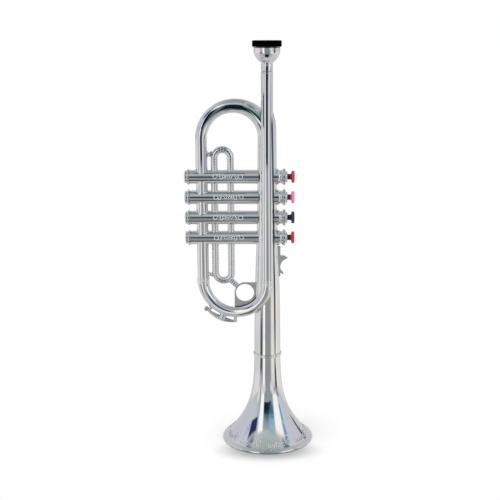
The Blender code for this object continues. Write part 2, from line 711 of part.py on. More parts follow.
def make_small_slide():
    """Upper and lower bends of the narrow loop, its braces, and a solid that clears the lower bend."""
    left = SLIDE_X - SLIDE_BEND_R
    right = SLIDE_X + SLIDE_BEND_R

    def bend(height, end, direction):
        path = [Vector((left, 0.0, end))]
        for step in range(SLIDE_BENDS + 1):
            angle = math.pi * (1 - step / SLIDE_BENDS)
            across = SLIDE_BEND_R * math.cos(angle)
            along = SLIDE_BEND_R * math.sin(angle)
            path.append(Vector((SLIDE_X + across, 0.0, height + direction * along)))
        path.append(Vector((right, 0.0, end)))
        return path

    upper = bend(SLIDE_TOP_Z, VALVE_TOP_Z, 1)
    lower = bend(SLIDE_LOW_Z, VALVE_LOW_Z, -1)
    solid = [SLIDE_TUBE_R] * len(upper)
    clear = [SLIDE_TUBE_R + CLEARANCE] * len(upper)
    cut(tube("small_slide_upper", upper, solid, 3, PLATED), casing_envelope(1))
    cut(tube("small_slide_lower", lower, solid, 3, PLATED), casing_envelope(VALVE_COUNT))
    top = TUNING_Z + FERRULE_RISE + CLEARANCE
    outline = (
        (0.0, BELL_BOW_Z), (LIMB_R + CLEARANCE, BELL_BOW_Z), (LIMB_R + CLEARANCE, top),
        (FERRULE_R + CLEARANCE, top), (FERRULE_R + CLEARANCE, TUNING_Z - FERRULE_DROP),
        (0.0, TUNING_Z - FERRULE_DROP),
    )
    limb = turned("limb_envelope", outline, 20, None, (LIMB_X, 0.0, 0.0))
    upper_clear = tube("small_slide_upper_envelope", upper, clear, 3)
    lower_clear = tube("small_slide_lower_envelope", lower, clear, 3)
    for name, height, radius, waist, slide in (
        ("brace_upper", SLIDE_TOP_Z + UPPER_BRACE_RISE, UPPER_BRACE_R, UPPER_BRACE_WAIST, upper_clear),
        ("brace_lower", SLIDE_LOW_Z + LOWER_BRACE_RISE, LOWER_BRACE_R, LOWER_BRACE_WAIST, lower_clear),
    ):
        start = LIMB_X + LIMB_R - radius
        end = left
        middle = (LIMB_X + LIMB_R + left - SLIDE_TUBE_R) / 2
        outline = (
            (0.0, end), (radius, end), (radius, middle + waist), (radius - waist, middle),
            (radius, middle - waist), (radius, start), (0.0, start),
        )
        cut(turned(name, outline, 12, PLATED, (0.0, 0.0, height), "X"), limb, slide)
    return lower_clear


def make_finger_ring(envelope, bow_envelope, slide_envelope):
    """Flat ring between the bell tube and the tuning bow, with its strut to the small slide."""
    height = TUNING_Z - RING_DROP
    centre = Vector((-tube_radius(height) - RING_SIDE_BAND - RING_HOLE_R, height))
    outer = RING_HOLE_R + RING_BAND
    slide = Vector((SLIDE_X, SLIDE_LOW_Z))
    strut = (slide - centre).normalized()
    side = Vector((-strut.y, strut.x))
    reach = (slide - centre).length - SLIDE_BEND_R
    heading = math.atan2(strut.y, strut.x)
    spread = math.asin(RING_STRUT_WIDTH / 2 / outer)

    def arc(start, end, count):
        return [
            centre + outer * Vector((math.cos(angle), math.sin(angle)))
            for angle in (start + (end - start) * step / count for step in range(count + 1))
        ]

    outline = [Vector((-TUBE_SHOULDER_R / 2, centre.y + outer))]
    outline += arc(math.pi / 2, heading - spread, 4)
    outline += [centre + strut * reach - side * RING_STRUT_WIDTH / 2]
    outline += [centre + strut * reach + side * RING_STRUT_WIDTH / 2]
    outline += arc(heading + spread, math.pi, 4)
    start = math.acos((centre.x - outer + CROOK_R) / CROOK_R)
    count = 6
    for step in range(count + 1):
        angle = -start * (1 - step / count)
        outline.append(Vector((CROOK_R * math.cos(angle) - CROOK_R, TUNING_Z + CROOK_R * math.sin(angle))))
    hole = [
        centre + RING_HOLE_R * Vector((math.cos(angle), math.sin(angle)))
        for angle in (2 * math.pi * step / RING_BENDS for step in range(RING_BENDS))
    ]
    ring = plate("finger_ring", (outline, hole), RING_THICKNESS, PLATED, RING_DEPTH)
    cut(ring, envelope, bow_envelope, slide_envelope)


def make_finger_hook(envelope):
    """Hook for the little finger, on the bell tube below the buttons."""
    top = VALVE_LOW_Z - TOP_FLANGE_R - HOOK_DROP
    bottom = top - HOOK_HEIGHT
    face = tube_radius((top + bottom) / 2) + HOOK_PROUD
    root = TUBE_SHOULDER_R / 2
    outline = [(face + HOOK_REACH * out, bottom + HOOK_HEIGHT * rise) for out, rise in HOOK_OUTLINE_SHARES]
    outline += [(root, bottom), (root, top)]
    cut(plate("finger_hook", (outline,), HOOK_THICKNESS, PLATED), envelope)


def make_water_key(bow_envelope):
    """Lever under the tuning bow, with a knob, two posts and a pad."""
    orbit = CROOK_R + LIMB_R + KEY_ARC_GAP
    angles = [
        KEY_START_DEG + (KEY_END_DEG - KEY_START_DEG) * step / KEY_BENDS
        for step in range(KEY_BENDS + 1)
    ]
    path = [tuning_point(angle, orbit) for angle in angles]
    lever = tube("water_key", path, [KEY_BAR_R] * len(path), 2, PLATED)
    knob = path[0]
    half = KEY_KNOB_WIDTH / 2
    join(lever, rod("key_knob", KEY_KNOB_R, -half, half, 12, None, knob, "Y"))
    for label, angle, radius in (
        ("key_post_left", KEY_LEFT_POST_DEG, KEY_POST_R),
        ("key_post_right", KEY_RIGHT_POST_DEG, KEY_POST_R),
        ("key_pad", KEY_PAD_DEG, KEY_PAD_R),
    ):
        ends = [tuning_point(angle, orbit), tuning_point(angle, CROOK_R)]
        join(lever, tube(label, ends, [radius, radius], 2))
    cut(lever, bow_envelope)


def make_model():
    """Make every piece of the trumpet."""
    tube_envelope = make_tube_envelope()
    make_bell()
    make_bell_tube()
    bell_bow_envelope = make_bell_bow(tube_envelope)
    tuning_bow_envelope = make_tuning_bow(tube_envelope)
    make_leadpipe(tube_envelope, bell_bow_envelope)
    make_limb(tube_envelope)
    make_mouthpiece()
    for number in range(1, VALVE_COUNT + 1):
        make_casing(number, tube_envelope)
        make_bottom_cap(number)
        make_top_cap(number, tube_envelope)
        make_button(number)
        make_reed(number)
        make_spring(number)
    slide_envelope = make_small_slide()
    make_finger_ring(tube_envelope, tuning_bow_envelope, slide_envelope)
    make_finger_hook(tube_envelope)
    make_water_key(tuning_bow_envelope)


make_model()
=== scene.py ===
import math

import bmesh
import bpy
from bpy.props import FloatProperty, FloatVectorProperty, IntProperty, PointerProperty
from mathutils import Matrix, Vector


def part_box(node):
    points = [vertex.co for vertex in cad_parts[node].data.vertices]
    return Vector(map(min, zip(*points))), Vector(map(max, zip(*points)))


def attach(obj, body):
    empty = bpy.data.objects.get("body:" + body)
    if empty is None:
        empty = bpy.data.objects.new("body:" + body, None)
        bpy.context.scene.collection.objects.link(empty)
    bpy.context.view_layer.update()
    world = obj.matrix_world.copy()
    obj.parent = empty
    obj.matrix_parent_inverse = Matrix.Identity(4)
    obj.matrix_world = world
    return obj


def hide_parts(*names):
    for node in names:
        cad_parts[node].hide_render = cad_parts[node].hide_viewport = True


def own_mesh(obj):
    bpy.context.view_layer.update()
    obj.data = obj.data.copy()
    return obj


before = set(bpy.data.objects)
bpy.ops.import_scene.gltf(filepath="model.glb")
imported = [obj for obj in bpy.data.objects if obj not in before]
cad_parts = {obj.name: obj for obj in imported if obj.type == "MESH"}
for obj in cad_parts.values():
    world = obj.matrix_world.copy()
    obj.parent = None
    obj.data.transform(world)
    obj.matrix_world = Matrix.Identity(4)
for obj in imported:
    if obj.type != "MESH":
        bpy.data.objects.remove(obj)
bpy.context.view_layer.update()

bl_info = {
    "name": "Toy trumpet dressing",
    "version": (1, 0, 0),
    "blender": (4, 5, 0),
    "location": "View3D > Sidebar > Trumpet",
    "description": "Detailed pieces, finishes and studio for the packed toy trumpet",
    "category": "Add Mesh",
}

FRONT = Vector((0.0, -1.0, 0.0))
RIGHT = Vector((1.0, 0.0, 0.0))
BLACK = (0.0, 0.0, 0.0, 1.0)
WHITE = (1.0, 1.0, 1.0, 1.0)
WELD = 0.00001
# reach of the ambient occlusion that places the painted shade in creases
CREASE_SHADE_REACH = 0.005
VALVES = (1, 2, 3, 4)


def cad_size(node):
    """Width, depth and height of a CAD node."""
    low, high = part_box(node)
    return high - low


def cad_middle(node):
    """Centre of a CAD node's box."""
    low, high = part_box(node)
    return (low + high) / 2


AXIS = Vector((cad_middle("bell").x, 0.0, 0.0))
BELL_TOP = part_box("bell")[1].z
CAP_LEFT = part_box("bottom_cap_1")[0].x - AXIS.x
VALVE_HEIGHTS = [cad_middle(f"bottom_cap_{number}").z for number in VALVES]
HEAD_DEPTH = 0.0033
STEM_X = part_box("valve_button_1")[1].x - HEAD_DEPTH - 0.0001
SLIDE_X = cad_middle("small_slide_upper").x - AXIS.x
PIPE_Y = cad_middle("mouthpiece_rim").y
PIPE_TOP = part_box("leadpipe")[1].z
CUP_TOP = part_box("mouthpiece_rim")[0].z
RIM_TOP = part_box("mouthpiece_rim")[1].z
TUNING_HEIGHT = cad_middle("ferrule_left").z + 0.0004
BOW_HEIGHT = 0.32265


def length(name, default, description):
    """Property for a length."""
    return FloatProperty(name=name, description=description, default=default, unit="LENGTH", precision=5)


def share(name, default, description):
    """Property for a share from 0 to 1."""
    return FloatProperty(
        name=name, description=description, default=default, min=0.0, max=1.0, subtype="FACTOR"
    )


def slant(name, degrees, description):
    """Property for an angle."""
    return FloatProperty(name=name, description=description, default=math.radians(degrees), subtype="ANGLE")


def amount(name, default, description, low=0.0):
    """Property for a plain value."""
    return FloatProperty(name=name, description=description, default=default, min=low)


def colour(name, default, description):
    """Property for a colour."""
    return FloatVectorProperty(
        name=name, description=description, default=default, size=3, min=0.0, max=1.0, subtype="COLOR"
    )


def count(name, default, description):
    """Property for a whole number."""
    return IntProperty(name=name, description=description, default=default, min=1)


class TRUMPET_PG_bell(bpy.types.PropertyGroup):
    """Sizes of the bell, its collar and the bell tube."""

    throat_radius: length("Throat radius", 0.0137, "Outer radius of the bell at its top")
    flare_run: length("Flare run", 0.0375, "Height over which the flare falls off")
    flare_bend: length("Flare bend", 0.0553, "Height at which the flare runs out into the throat")
    wall: length("Wall", 0.0016, "Thickness of the bell's wall")
    lip_height: length("Lip height", 0.0022, "Height of the rolled lip")
    lip_proud: length("Lip proud", 0.0013, "How far the lip stands out from the flare")
    collar_proud: length("Collar proud", 0.0008, "How far the collar stands out from its bore")
    facets: count("Facets", 192, "Faces round the bell")


class TRUMPET_PG_crooks(bpy.types.PropertyGroup):
    """Sizes of the two wide bends, the limb and the leadpipe."""

    radius: length("Bend radius", 0.03345, "Radius of both wide bends")
    pipe_radius: length("Pipe radius", 0.00605, "Radius of the limb and the tuning bow")
    growth: amount("Growth", 1.75, "How late the bell bow widens", 1.0)
    waist: length("Waist", 0.00065, "How much thinner the tuning bow is in its middle")
    leadpipe_radius: length("Leadpipe radius", 0.0061, "Radius of the long pipe in front")
    leadpipe_bore: length("Leadpipe bore", 0.0046, "Radius of the mouthpiece's socket")
    bends: count("Bends", 72, "Steps along each wide bend")
    facets: count("Facets", 56, "Faces round each pipe")


class TRUMPET_PG_mouthpiece(bpy.types.PropertyGroup):
    """Sizes of the mouthpiece."""

    cup_radius: length("Cup radius", 0.0134, "Outer radius of the cup at its top")
    bowl_radius: length("Bowl radius", 0.0090, "Inner radius of the cup")
    stem_radius: length("Stem radius", 0.0060, "Radius of the stem under the cup")
    shank_radius: length("Shank radius", 0.0043, "Radius of the shank in the leadpipe")
    rim_radius: length("Rim radius", 0.0146, "Outer radius of the soft ring")
    rim_soften: length("Rim soften", 0.0012, "Rounding of the soft ring's edges")
    facets: count("Facets", 128, "Faces round the mouthpiece")


class TRUMPET_PG_valves(bpy.types.PropertyGroup):
    """Sizes of the casings, caps and buttons."""

    casing_radius: length("Casing radius", 0.00705, "Outer radius of a casing")
    bore_radius: length("Bore radius", 0.0056, "Inner radius of a casing")
    fillet: length("Fillet", 0.0005, "Hollow curve where a pipe meets a casing")
    left_flange: length("Left flange", 0.0080, "Radius of the flange on a left cap")
    right_flange: length("Right flange", 0.0085, "Radius of the outer flange on a right cap")
    right_waist: length("Right waist", 0.0066, "Radius of a right cap between its flanges")
    head_radius: length("Button radius", 0.00615, "Radius of a button's head")
    stem_radius: length("Stem radius", 0.00285, "Radius of a button's stem")
    spring_wire: length("Spring wire", 0.00035, "Radius of a return spring's wire")
    spring_turns: count("Spring turns", 5, "Turns of a return spring")
    facets: count("Facets", 72, "Faces round a casing")


class TRUMPET_PG_fittings(bpy.types.PropertyGroup):
    """Sizes of the small slide, braces, finger ring, hook and water key."""

    slide_radius: length("Slide radius", 0.0036, "Radius of the small slide's pipe")
    slide_bend: length("Slide bend", 0.00825, "Radius of the small slide's bends")
    ring_hole: length("Ring hole", 0.0093, "Radius of the finger ring's hole")
    ring_thickness: length("Ring thickness", 0.0030, "Thickness of the finger ring")
    hook_thickness: length("Hook thickness", 0.0046, "Thickness of the finger hook")
    edge: length("Edge", 0.00045, "Rounding of the plates' edges")
    key_bar: length("Key bar", 0.0015, "Radius of the water key's lever")
    facets: count("Facets", 40, "Faces round each small pipe")


class TRUMPET_PG_ornament(bpy.types.PropertyGroup):
    """Sizes of the beaded scrolls and ribs."""

    bead: length("Bead", 0.00058, "Radius of a bead")
    spacing: length("Spacing", 0.00130, "Distance between beads")
    wire: length("Wire", 0.00036, "Radius of the line under the beads")
    lift: length("Lift", 0.00015, "Height of the beads' middles above the surface")
    rib_spacing: length("Rib spacing", 0.0028, "Distance between the small slide's ribs")
    rib: length("Rib", 0.00018, "Radius of a rib")
    casing_start: length("Casing start", -0.0552, "Where a casing's scrolls start, from the bell's axis")
    casing_length: length("Casing length", 0.0310, "Length of a casing's scrolls")
    casing_tilt: slant("Casing tilt", 9.0, "Turn of the scrolls about the casing")
    bell_lift: length("Bell lift", 0.0012, "Height of the bell's scrolls above their drawn place")
    repeats: count("Repeats", 8, "How often the bell's scrolls repeat")
    seed: count("Seed", 5, "Seed of the beads' sizes")


class TRUMPET_PG_finishes(bpy.types.PropertyGroup):
    """Colours and surface of the finishes."""

    plated: colour("Plated", (0.985, 0.985, 0.985), "Bright metallised plastic")
    plated_roughness: share("Plated roughness", 0.045, "Roughness of the bright plating")
    waviness: share("Waviness", 0.10, "Unevenness of the plating, as moulded plastic has")
    black: colour("Black", (0.0012, 0.0012, 0.0014), "Soft black plastic of the mouthpiece ring")
    red: colour("Red", (0.62, 0.030, 0.035), "Red buttons")
    pink: colour("Pink", (0.90, 0.22, 0.42), "Pink button")
    navy: colour("Navy", (0.020, 0.022, 0.16), "Navy button")
    brass: colour("Brass", (0.72, 0.50, 0.20), "Reeds")
    white: colour("White", (0.80, 0.80, 0.77), "Reed holders")
    silicone: colour("Silicone", (0.70, 0.68, 0.62), "Soft pads")
    steel: colour("Steel", (0.56, 0.56, 0.57), "Springs")


class TRUMPET_PG_studio(bpy.types.PropertyGroup):
    """Camera, light and floor."""

    distance: length("Distance", 0.9837, "Distance of the camera from its target")
    target_height: length("Target height", 0.2071, "Height that the camera looks at")
    pitch: slant("Pitch", 12.9, "Angle that the camera looks down by")
    roll: slant("Roll", -0.09, "Turn of the camera about its view")
    lens: amount("Lens", 68.04, "Focal length in millimetres", 10.0)
    shift: amount("Shift", -0.0344, "Sideways shift of the camera's frame", -1.0)
    fill: amount("Fill", 0.97, "Level of the room's even light")
    key_power: amount("Key power", 6.0, "Power of the soft lamp in watts")
    floor_colour: colour("Floor", (0.97, 0.97, 0.975), "Pale studio floor")
    floor_reach: length("Floor reach", 0.125, "Distance from the bell at which the floor turns white")


def made(tree, kind, inputs=None, **settings):
    """Add a node, with its settings, its plain inputs and its links."""
    item = tree.nodes.new(kind)
    for key, value in settings.items():
        setattr(item, key, value)
    for key, value in (inputs or {}).items():
        if isinstance(value, bpy.types.NodeSocket):
            tree.links.new(value, item.inputs[key])
        else:
            item.inputs[key].default_value = value
    return item


def figured(tree, operation, *values):
    """Add a Math node and return its result."""
    return made(tree, "ShaderNodeMath", dict(enumerate(values)), operation=operation).outputs[0]


def product(tree, first, *others):
    """Multiply values."""
    for other in others:
        first = figured(tree, "MULTIPLY", first, other)
    return first


def mixed(tree, factor, first, second):
    """Mix two colours."""
    return made(
        tree, "ShaderNodeMix", {"Factor": factor, "A": first, "B": second}, data_type="RGBA"
    ).outputs["Result"]


def ramped(tree, value, start, end, step="SMOOTHSTEP"):
    """Step from 0 at the start to 1 at the end, soft unless another kind is named."""
    inputs = {"Value": value, "From Min": start, "From Max": end}
    return made(tree, "ShaderNodeMapRange", inputs, interpolation_type=step).outputs[0]


def between(tree, value, borders):
    """Mask of the values inside soft borders."""
    return product(tree, *[ramped(tree, value, *border) for border in borders])


def noised(tree, place, scale, detail, **more):
    """Noise texture at a place."""
    inputs = {"Vector": place, "Scale": scale, "Detail": detail, **more}
    return made(tree, "ShaderNodeTexNoise", inputs).outputs


def measured(tree, operation, first, second):
    """Add a Vector Math node and return its results."""
    return made(tree, "ShaderNodeVectorMath", {0: first, 1: second}, operation=operation).outputs


def placed(tree):
    """Place on the object."""
    return tree.nodes.new("ShaderNodeTexCoord").outputs["Object"]


def parted(tree, place):
    """X, Y and Z of a place."""
    return made(tree, "ShaderNodeSeparateXYZ", {"Vector": place}).outputs


def new_group(name, kind, inputs, outputs):
    """Node group with its named sockets, and the sockets of its Group Input."""
    group = bpy.data.node_groups.new(name, kind)
    for side, sockets in (("INPUT", inputs), ("OUTPUT", outputs)):
        for label, socket_kind, *default in sockets:
            socket = group.interface.new_socket(label, in_out=side, socket_type="NodeSocket" + socket_kind)
            if default:
                socket.default_value = default[0]
    return group, group.nodes.new("NodeGroupInput").outputs


def wear_and_crease_shade_group():
    """Shared effect: moulded waviness, fine grain, handling smudges, hairline scratches, a random colour
    drift and a painted shade in creases, found by ambient occlusion.
    """
    if "surface_wear" in bpy.data.node_groups:
        return bpy.data.node_groups["surface_wear"]
    group, given = new_group("surface_wear", "ShaderNodeTree", (
        ("Wave Scale", "Float", 60.0), ("Grain Scale", "Float", 2400.0), ("Grain", "Float", 0.1),
        ("Smudge Scale", "Float", 45.0), ("Scratch Scale", "Float", 160.0), ("Roughness", "Float", 0.1),
        ("Roughness Spread", "Float", 0.05),
    ), (
        ("Height", "Float"), ("Roughness", "Float"), ("Smudge", "Float"), ("Scratch", "Float"),
        ("Crease", "Float"), ("Drift", "Color"),
    ))
    place = placed(group)
    waves = noised(group, place, given["Wave Scale"], 2.0)["Fac"]
    grain = noised(group, place, given["Grain Scale"], 1.0)["Fac"]
    smudges = noised(group, place, given["Smudge Scale"], 5.0, Roughness=0.62, Distortion=0.6)["Fac"]
    smudge = ramped(group, smudges, 0.48, 0.72)
    stretched = made(group, "ShaderNodeMapping", {"Vector": place, "Scale": (1.0, 1.0, 0.08)}).outputs[0]
    lines = made(
        group, "ShaderNodeTexVoronoi", {"Vector": stretched, "Scale": given["Scratch Scale"]},
        feature="DISTANCE_TO_EDGE",
    ).outputs["Distance"]
    lit = made(group, "ShaderNodeAmbientOcclusion", {"Distance": CREASE_SHADE_REACH}, samples=12).outputs["AO"]
    spread = product(group, smudge, given["Roughness Spread"])
    made(group, "NodeGroupOutput", {
        "Height": figured(group, "ADD", waves, product(group, grain, given["Grain"])),
        "Roughness": figured(group, "ADD", given["Roughness"], spread),
        "Smudge": smudge,
        "Scratch": product(group, ramped(group, lines, 0.012, 0.0, "LINEAR"), smudge),
        # painted shade: darker where the ambient occlusion finds a crease or hollow
        "Crease": ramped(group, lit, 0.72, 0.34),
        "Drift": noised(group, place, 38.0, 1.0)["Color"],
    })
    return group


# borders of the leadpipe's painted dark line, a painted shade and dark reflection of the crease: across the
# pipe, and up it
SEAM_SHADE_SIDES = ((0.0044, 0.0052), (0.0070, 0.0061))
SEAM_SHADE_ENDS = ((0.206, 0.222), (0.350, 0.336))
SEAM_SHADE_LEAN = 0.016
SEAM_SHADE_HEIGHT = 0.30


def stem_shade(tree, place):
    """Mask of a button's stem, which stands in its head's shade, and the shade's colour."""
    return ramped(tree, parted(tree, place)["X"], STEM_X, STEM_X - 0.0012), (0.09, 0.06, 0.07)


def seam_shade(tree, place, back=-0.0115):
    """Mask of the painted shade and dark reflection down the leadpipe's right side, in front of the given
    depth, and its colour.
    """
    parts = parted(tree, place)
    lean = figured(tree, "MULTIPLY_ADD", parts["Z"], SEAM_SHADE_LEAN, -SEAM_SHADE_HEIGHT * SEAM_SHADE_LEAN - AXIS.x)
    line = between(tree, figured(tree, "ADD", parts["X"], lean), SEAM_SHADE_SIDES)
    ends = between(tree, parts["Z"], SEAM_SHADE_ENDS)
    front = ramped(tree, parts["Y"], back, back - 0.002)
    return product(tree, line, ends, front), (0.020, 0.030, 0.095)


def tube_seam_shade(tree, place):
    """The same painted shade line where it falls on the bell tube, behind the leadpipe."""
    return seam_shade(tree, place, -0.003)


def plate_shade(tree, place):
    """Mask of the finger ring's rim beside the tuning bow, and the shade's colour."""
    bend = bpy.context.scene.trumpet_crooks
    flat = measured(tree, "MULTIPLY", place, (1.0, 0.0, 1.0))[0]
    middle = (AXIS.x - bend.radius, 0.0, TUNING_HEIGHT - 0.002)
    away = measured(tree, "DISTANCE", flat, middle)["Value"]
    inner = bend.radius - bend.pipe_radius
    return ramped(tree, away, inner - 0.0026, inner - 0.0004), (0.035, 0.045, 0.050)


# colour of the painted shade in creases, as a share of the base colour
CREASE_SHADE_TINT = (0.06, 0.09, 0.17)
SCRATCH_TINT = (0.8, 0.8, 0.8)
BOUNCE_LOSS = 0.9


def tinted(base, tint):
    """Colour times a tint."""
    return (*[value * part for value, part in zip(base, tint)], 1.0)


def finish_material(name, base, roughness, spread, grain, bump, reach, metallic=0.0, tint=(0.85, 0.85, 0.85),
                    gloss=0.5, crease=0.0, drift=0.0, shade=None):
    """Principled material with moulded waviness, grain, smudges, scratches, painted shade in creases and any
    other painted shade given.
    """
    material = bpy.data.materials.new(name)
    material.use_nodes = True
    tree = material.node_tree
    shader = tree.nodes["Principled BSDF"]
    wear_and_shade = made(
        tree, "ShaderNodeGroup", {"Grain": grain, "Roughness": roughness, "Roughness Spread": spread},
        node_tree=wear_and_crease_shade_group(),
    ).outputs
    shown = mixed(tree, wear_and_shade["Smudge"], (*base, 1.0), tinted(base, tint))
    shown = mixed(tree, drift, shown, wear_and_shade["Drift"])
    shown = mixed(tree, wear_and_shade["Scratch"], shown, tinted(base, SCRATCH_TINT))
    # painted shade in creases and hollows
    shown = mixed(tree, product(tree, wear_and_shade["Crease"], crease), shown, tinted(base, CREASE_SHADE_TINT))
    if shade:
        mask, tinge = shade(tree, placed(tree))
        shown = mixed(tree, mask, shown, tinted(base, tinge))
    relief = made(tree, "ShaderNodeBump", {"Height": wear_and_shade["Height"], "Strength": bump, "Distance": reach})
    # for diffuse rays the metal is painted nearly black, so it gives little bounce light and the floor's
    # shadow stays deep
    bounced = tree.nodes.new("ShaderNodeLightPath").outputs["Is Diffuse Ray"]
    shadow = product(tree, bounced, BOUNCE_LOSS * metallic)
    tree.links.new(mixed(tree, shadow, shown, BLACK), shader.inputs["Base Color"])
    tree.links.new(wear_and_shade["Roughness"], shader.inputs["Roughness"])
    tree.links.new(relief.outputs["Normal"], shader.inputs["Normal"])
    shader.inputs["Metallic"].default_value = metallic
    shader.inputs["Specular IOR Level"].default_value = gloss
    return material


# crease sets how strongly the painted shade darkens hollows
PLATING = {
    "metallic": 1.0, "spread": 0.05, "grain": 0.02, "reach": 0.0003, "tint": (0.95, 0.955, 0.97),
    "crease": 0.85, "drift": 0.12,
}
GLOSS = {
    "roughness": 0.30, "spread": 0.1, "grain": 0.2, "bump": 0.15, "reach": 0.0002, "crease": 0.9,
    "shade": stem_shade,
}
RELIEF = {**PLATING, "roughness": 0.28, "metallic": 0.6, "crease": 1.0, "drift": 0.0}
# material's name and look, by finish
FINISHES = {
    "plated": ("bright_plating", PLATING),
    # these two paint a dark shade line down the leadpipe's right side and onto the bell tube beside it
    "seamed": ("seamed_plating", {**PLATING, "shade": seam_shade}),
    "grooved": ("grooved_plating", {**PLATING, "shade": tube_seam_shade}),
    "plate": ("plate_plating", {**PLATING, "shade": plate_shade}),
    "relief": ("relief_plating", RELIEF),
    "black": ("soft_black", {
        "roughness": 0.65, "spread": 0.14, "grain": 0.5, "bump": 0.3, "reach": 0.0002,
        "tint": (1.7, 1.7, 1.7), "gloss": 0.0,
    }),
    "red": ("gloss_red", GLOSS),
    "pink": ("gloss_pink", GLOSS),
    "navy": ("gloss_navy", GLOSS),
    "brass": ("reed_brass_rolled", {
        "roughness": 0.28, "metallic": 1.0, "spread": 0.15, "grain": 0.4, "bump": 0.2, "reach": 0.0001,
    }),
    "white": ("holder_white", {
        "roughness": 0.42, "spread": 0.1, "grain": 0.4, "bump": 0.2, "reach": 0.0002,
    }),
    "silicone": ("pad_soft", {
        "roughness": 0.60, "spread": 0.1, "grain": 0.6, "bump": 0.3, "reach": 0.0002,
    }),
    "steel": ("drawn_steel", {
        "roughness": 0.30, "metallic": 1.0, "spread": 0.12, "grain": 0.4, "bump": 0.2, "reach": 0.0001,
    }),
}
MATERIALS = {}


def finish(name):
    """Material by its finish's name, made once from the chosen colours."""
    if name not in MATERIALS:
        chosen = bpy.context.scene.trumpet_finishes
        material, look = FINISHES[name]
        look = {"roughness": chosen.plated_roughness, "bump": chosen.waviness, **look}
        MATERIALS[name] = finish_material(material, getattr(chosen, name, chosen.plated), **look)
    return MATERIALS[name]


def at(x=0.0, y=0.0, z=0.0):
    """Point at a distance from the foot of the bell's axis."""
    return AXIS + Vector((x, y, z))


def on_circle(x, z, radius, angle):
    """Point on an upright circle about a place beside the bell's axis."""
    return at(x + radius * math.cos(angle), z=z + radius * math.sin(angle))


def spaced(start, end, steps):
    """Even values from a start to an end, both included."""
    return [start + (end - start) * step / steps for step in range(steps + 1)]


def round_angles(facets):
    """Angles of the corners of a round row."""
    return [2 * math.pi * step / facets for step in range(facets)]


CORNER_SHARE = 0.45


def rounded(outline, soften, steps=5, ring=False):
    """Round the corners of an outline, as far as its sides allow."""
    points = [Vector(point) for point in outline]
    if ring:
        triples = zip(points[-1:] + points, points, points[1:] + points[:1])
    else:
        triples = zip(points, points[1:], points[2:])
    result = [] if ring else [points[0]]
    for before, corner, after in triples:
        back = before - corner
        ahead = after - corner
        start = corner + back.normalized() * min(soften, back.length * CORNER_SHARE)
        end = corner + ahead.normalized() * min(soften, ahead.length * CORNER_SHARE)
        for along in spaced(0.0, 1.0, steps):
            result.append((1 - along) ** 2 * start + 2 * along * (1 - along) * corner + along ** 2 * end)
    return result if ring else result + [points[-1]]


def flowing(points, steps):
    """Smooth curve through points, with even steps between each two."""
    points = [Vector(point) for point in points]
    padded = [2 * points[0] - points[1]] + points + [2 * points[-1] - points[-2]]
    result = []
    for first, second, third, fourth in zip(padded, padded[1:], padded[2:], padded[3:]):
        for along in spaced(0.0, 1.0, steps)[:-1]:
            result.append(0.5 * (
                2 * second + (third - first) * along
                + (2 * first - 5 * second + 4 * third - fourth) * along ** 2
                + (3 * second - first - 3 * third + fourth) * along ** 3
            ))
    return result + [points[-1]]


def turned_rows(outline, facets, centre, along="Z"):
    """Rows of points of an outline of (radius, height) turned about an axis."""
    rows = []
    for radius, height in outline:
        row = []
        for angle in round_angles(1 if radius < WELD else facets):
            across = radius * math.cos(angle)
            side = radius * math.sin(angle)
            point = (across, side, height) if along == "Z" else (height, across, side)
            row.append(centre + Vector(point))
        rows.append(row)
    return rows


def swept_rows(path, radii, facets, facing=FRONT):
    """Rows of points of a round section run along a path, which never runs the way it faces."""
    rows = []
    for before, point, after, radius in zip(path[:1] + path, path, path[1:] + path[-1:], radii):
        ahead = (after - before).normalized()
        side = (facing - ahead * facing.dot(ahead)).normalized()
        up = ahead.cross(side)
        spokes = [side * math.cos(angle) + up * math.sin(angle) for angle in round_angles(facets)]
        rows.append([point + radius * spoke for spoke in spokes])
    return rows


def add_rows(shape, rows, ring=False):
    """Add faces through rows of points; open ends are closed flat."""
    loops = [[shape.verts.new(point) for point in row] for row in rows]
    pairs = list(zip(loops, loops[1:]))
    if ring:
        pairs.append((loops[-1], loops[0]))
    for first, second in pairs:
        widest = max(len(first), len(second))
        for step in range(widest):
            after = (step + 1) % widest
            if len(first) == 1:
                shape.faces.new((first[0], second[step], second[after]))
            elif len(second) == 1:
                shape.faces.new((first[step], second[0], first[after]))
            else:
                shape.faces.new((first[step], second[step], second[after], first[after]))
    if not ring:
        for loop in (loops[0], loops[-1]):
            if len(loop) > 1:
                shape.faces.new(loop)


def linked(name, data):
    """Add an object to the scene."""
    item = bpy.data.objects.new(name, data)
    bpy.context.scene.collection.objects.link(item)
    return item


def meshed(name, shape, material):
    """Object with a shape's mesh and one material."""
    mesh = bpy.data.meshes.new(name)
    shape.to_mesh(mesh)
    shape.free()
    mesh.materials.append(material)
    return linked(name, mesh)


def settled(item, replaces, body):
    """Turn an object with its modifiers into a plain mesh that rides on a body and stands for CAD nodes."""
    evaluated = item.evaluated_get(bpy.context.evaluated_depsgraph_get())
    mesh = bpy.data.meshes.new_from_object(evaluated)
    mesh.name = item.name
    item.modifiers.clear()
    item.data = mesh
    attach(item, body)
    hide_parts(*replaces)
    return item


def piece(name, shape, replaces, material="plated", body="root", slot="plated", sharp=38.0):
    """Turn a shape into a finished piece."""
    bmesh.ops.recalc_face_normals(shape, faces=shape.faces)
    item = meshed(name, shape, finish(material))
    item.data.shade_smooth()
    item.data.set_sharp_from_angle(angle=math.radians(sharp))
    item.modifiers.new("even_normals", "WEIGHTED_NORMAL").keep_sharp = True
    return settled(item, replaces, body)


def turned_piece(name, outline, facets, centre, replaces, along="Z", ring=False, **more):
    """Turned piece."""
    shape = bmesh.new()
    add_rows(shape, turned_rows(outline, facets, centre, along), ring)
    piece(name, shape, replaces, **more)


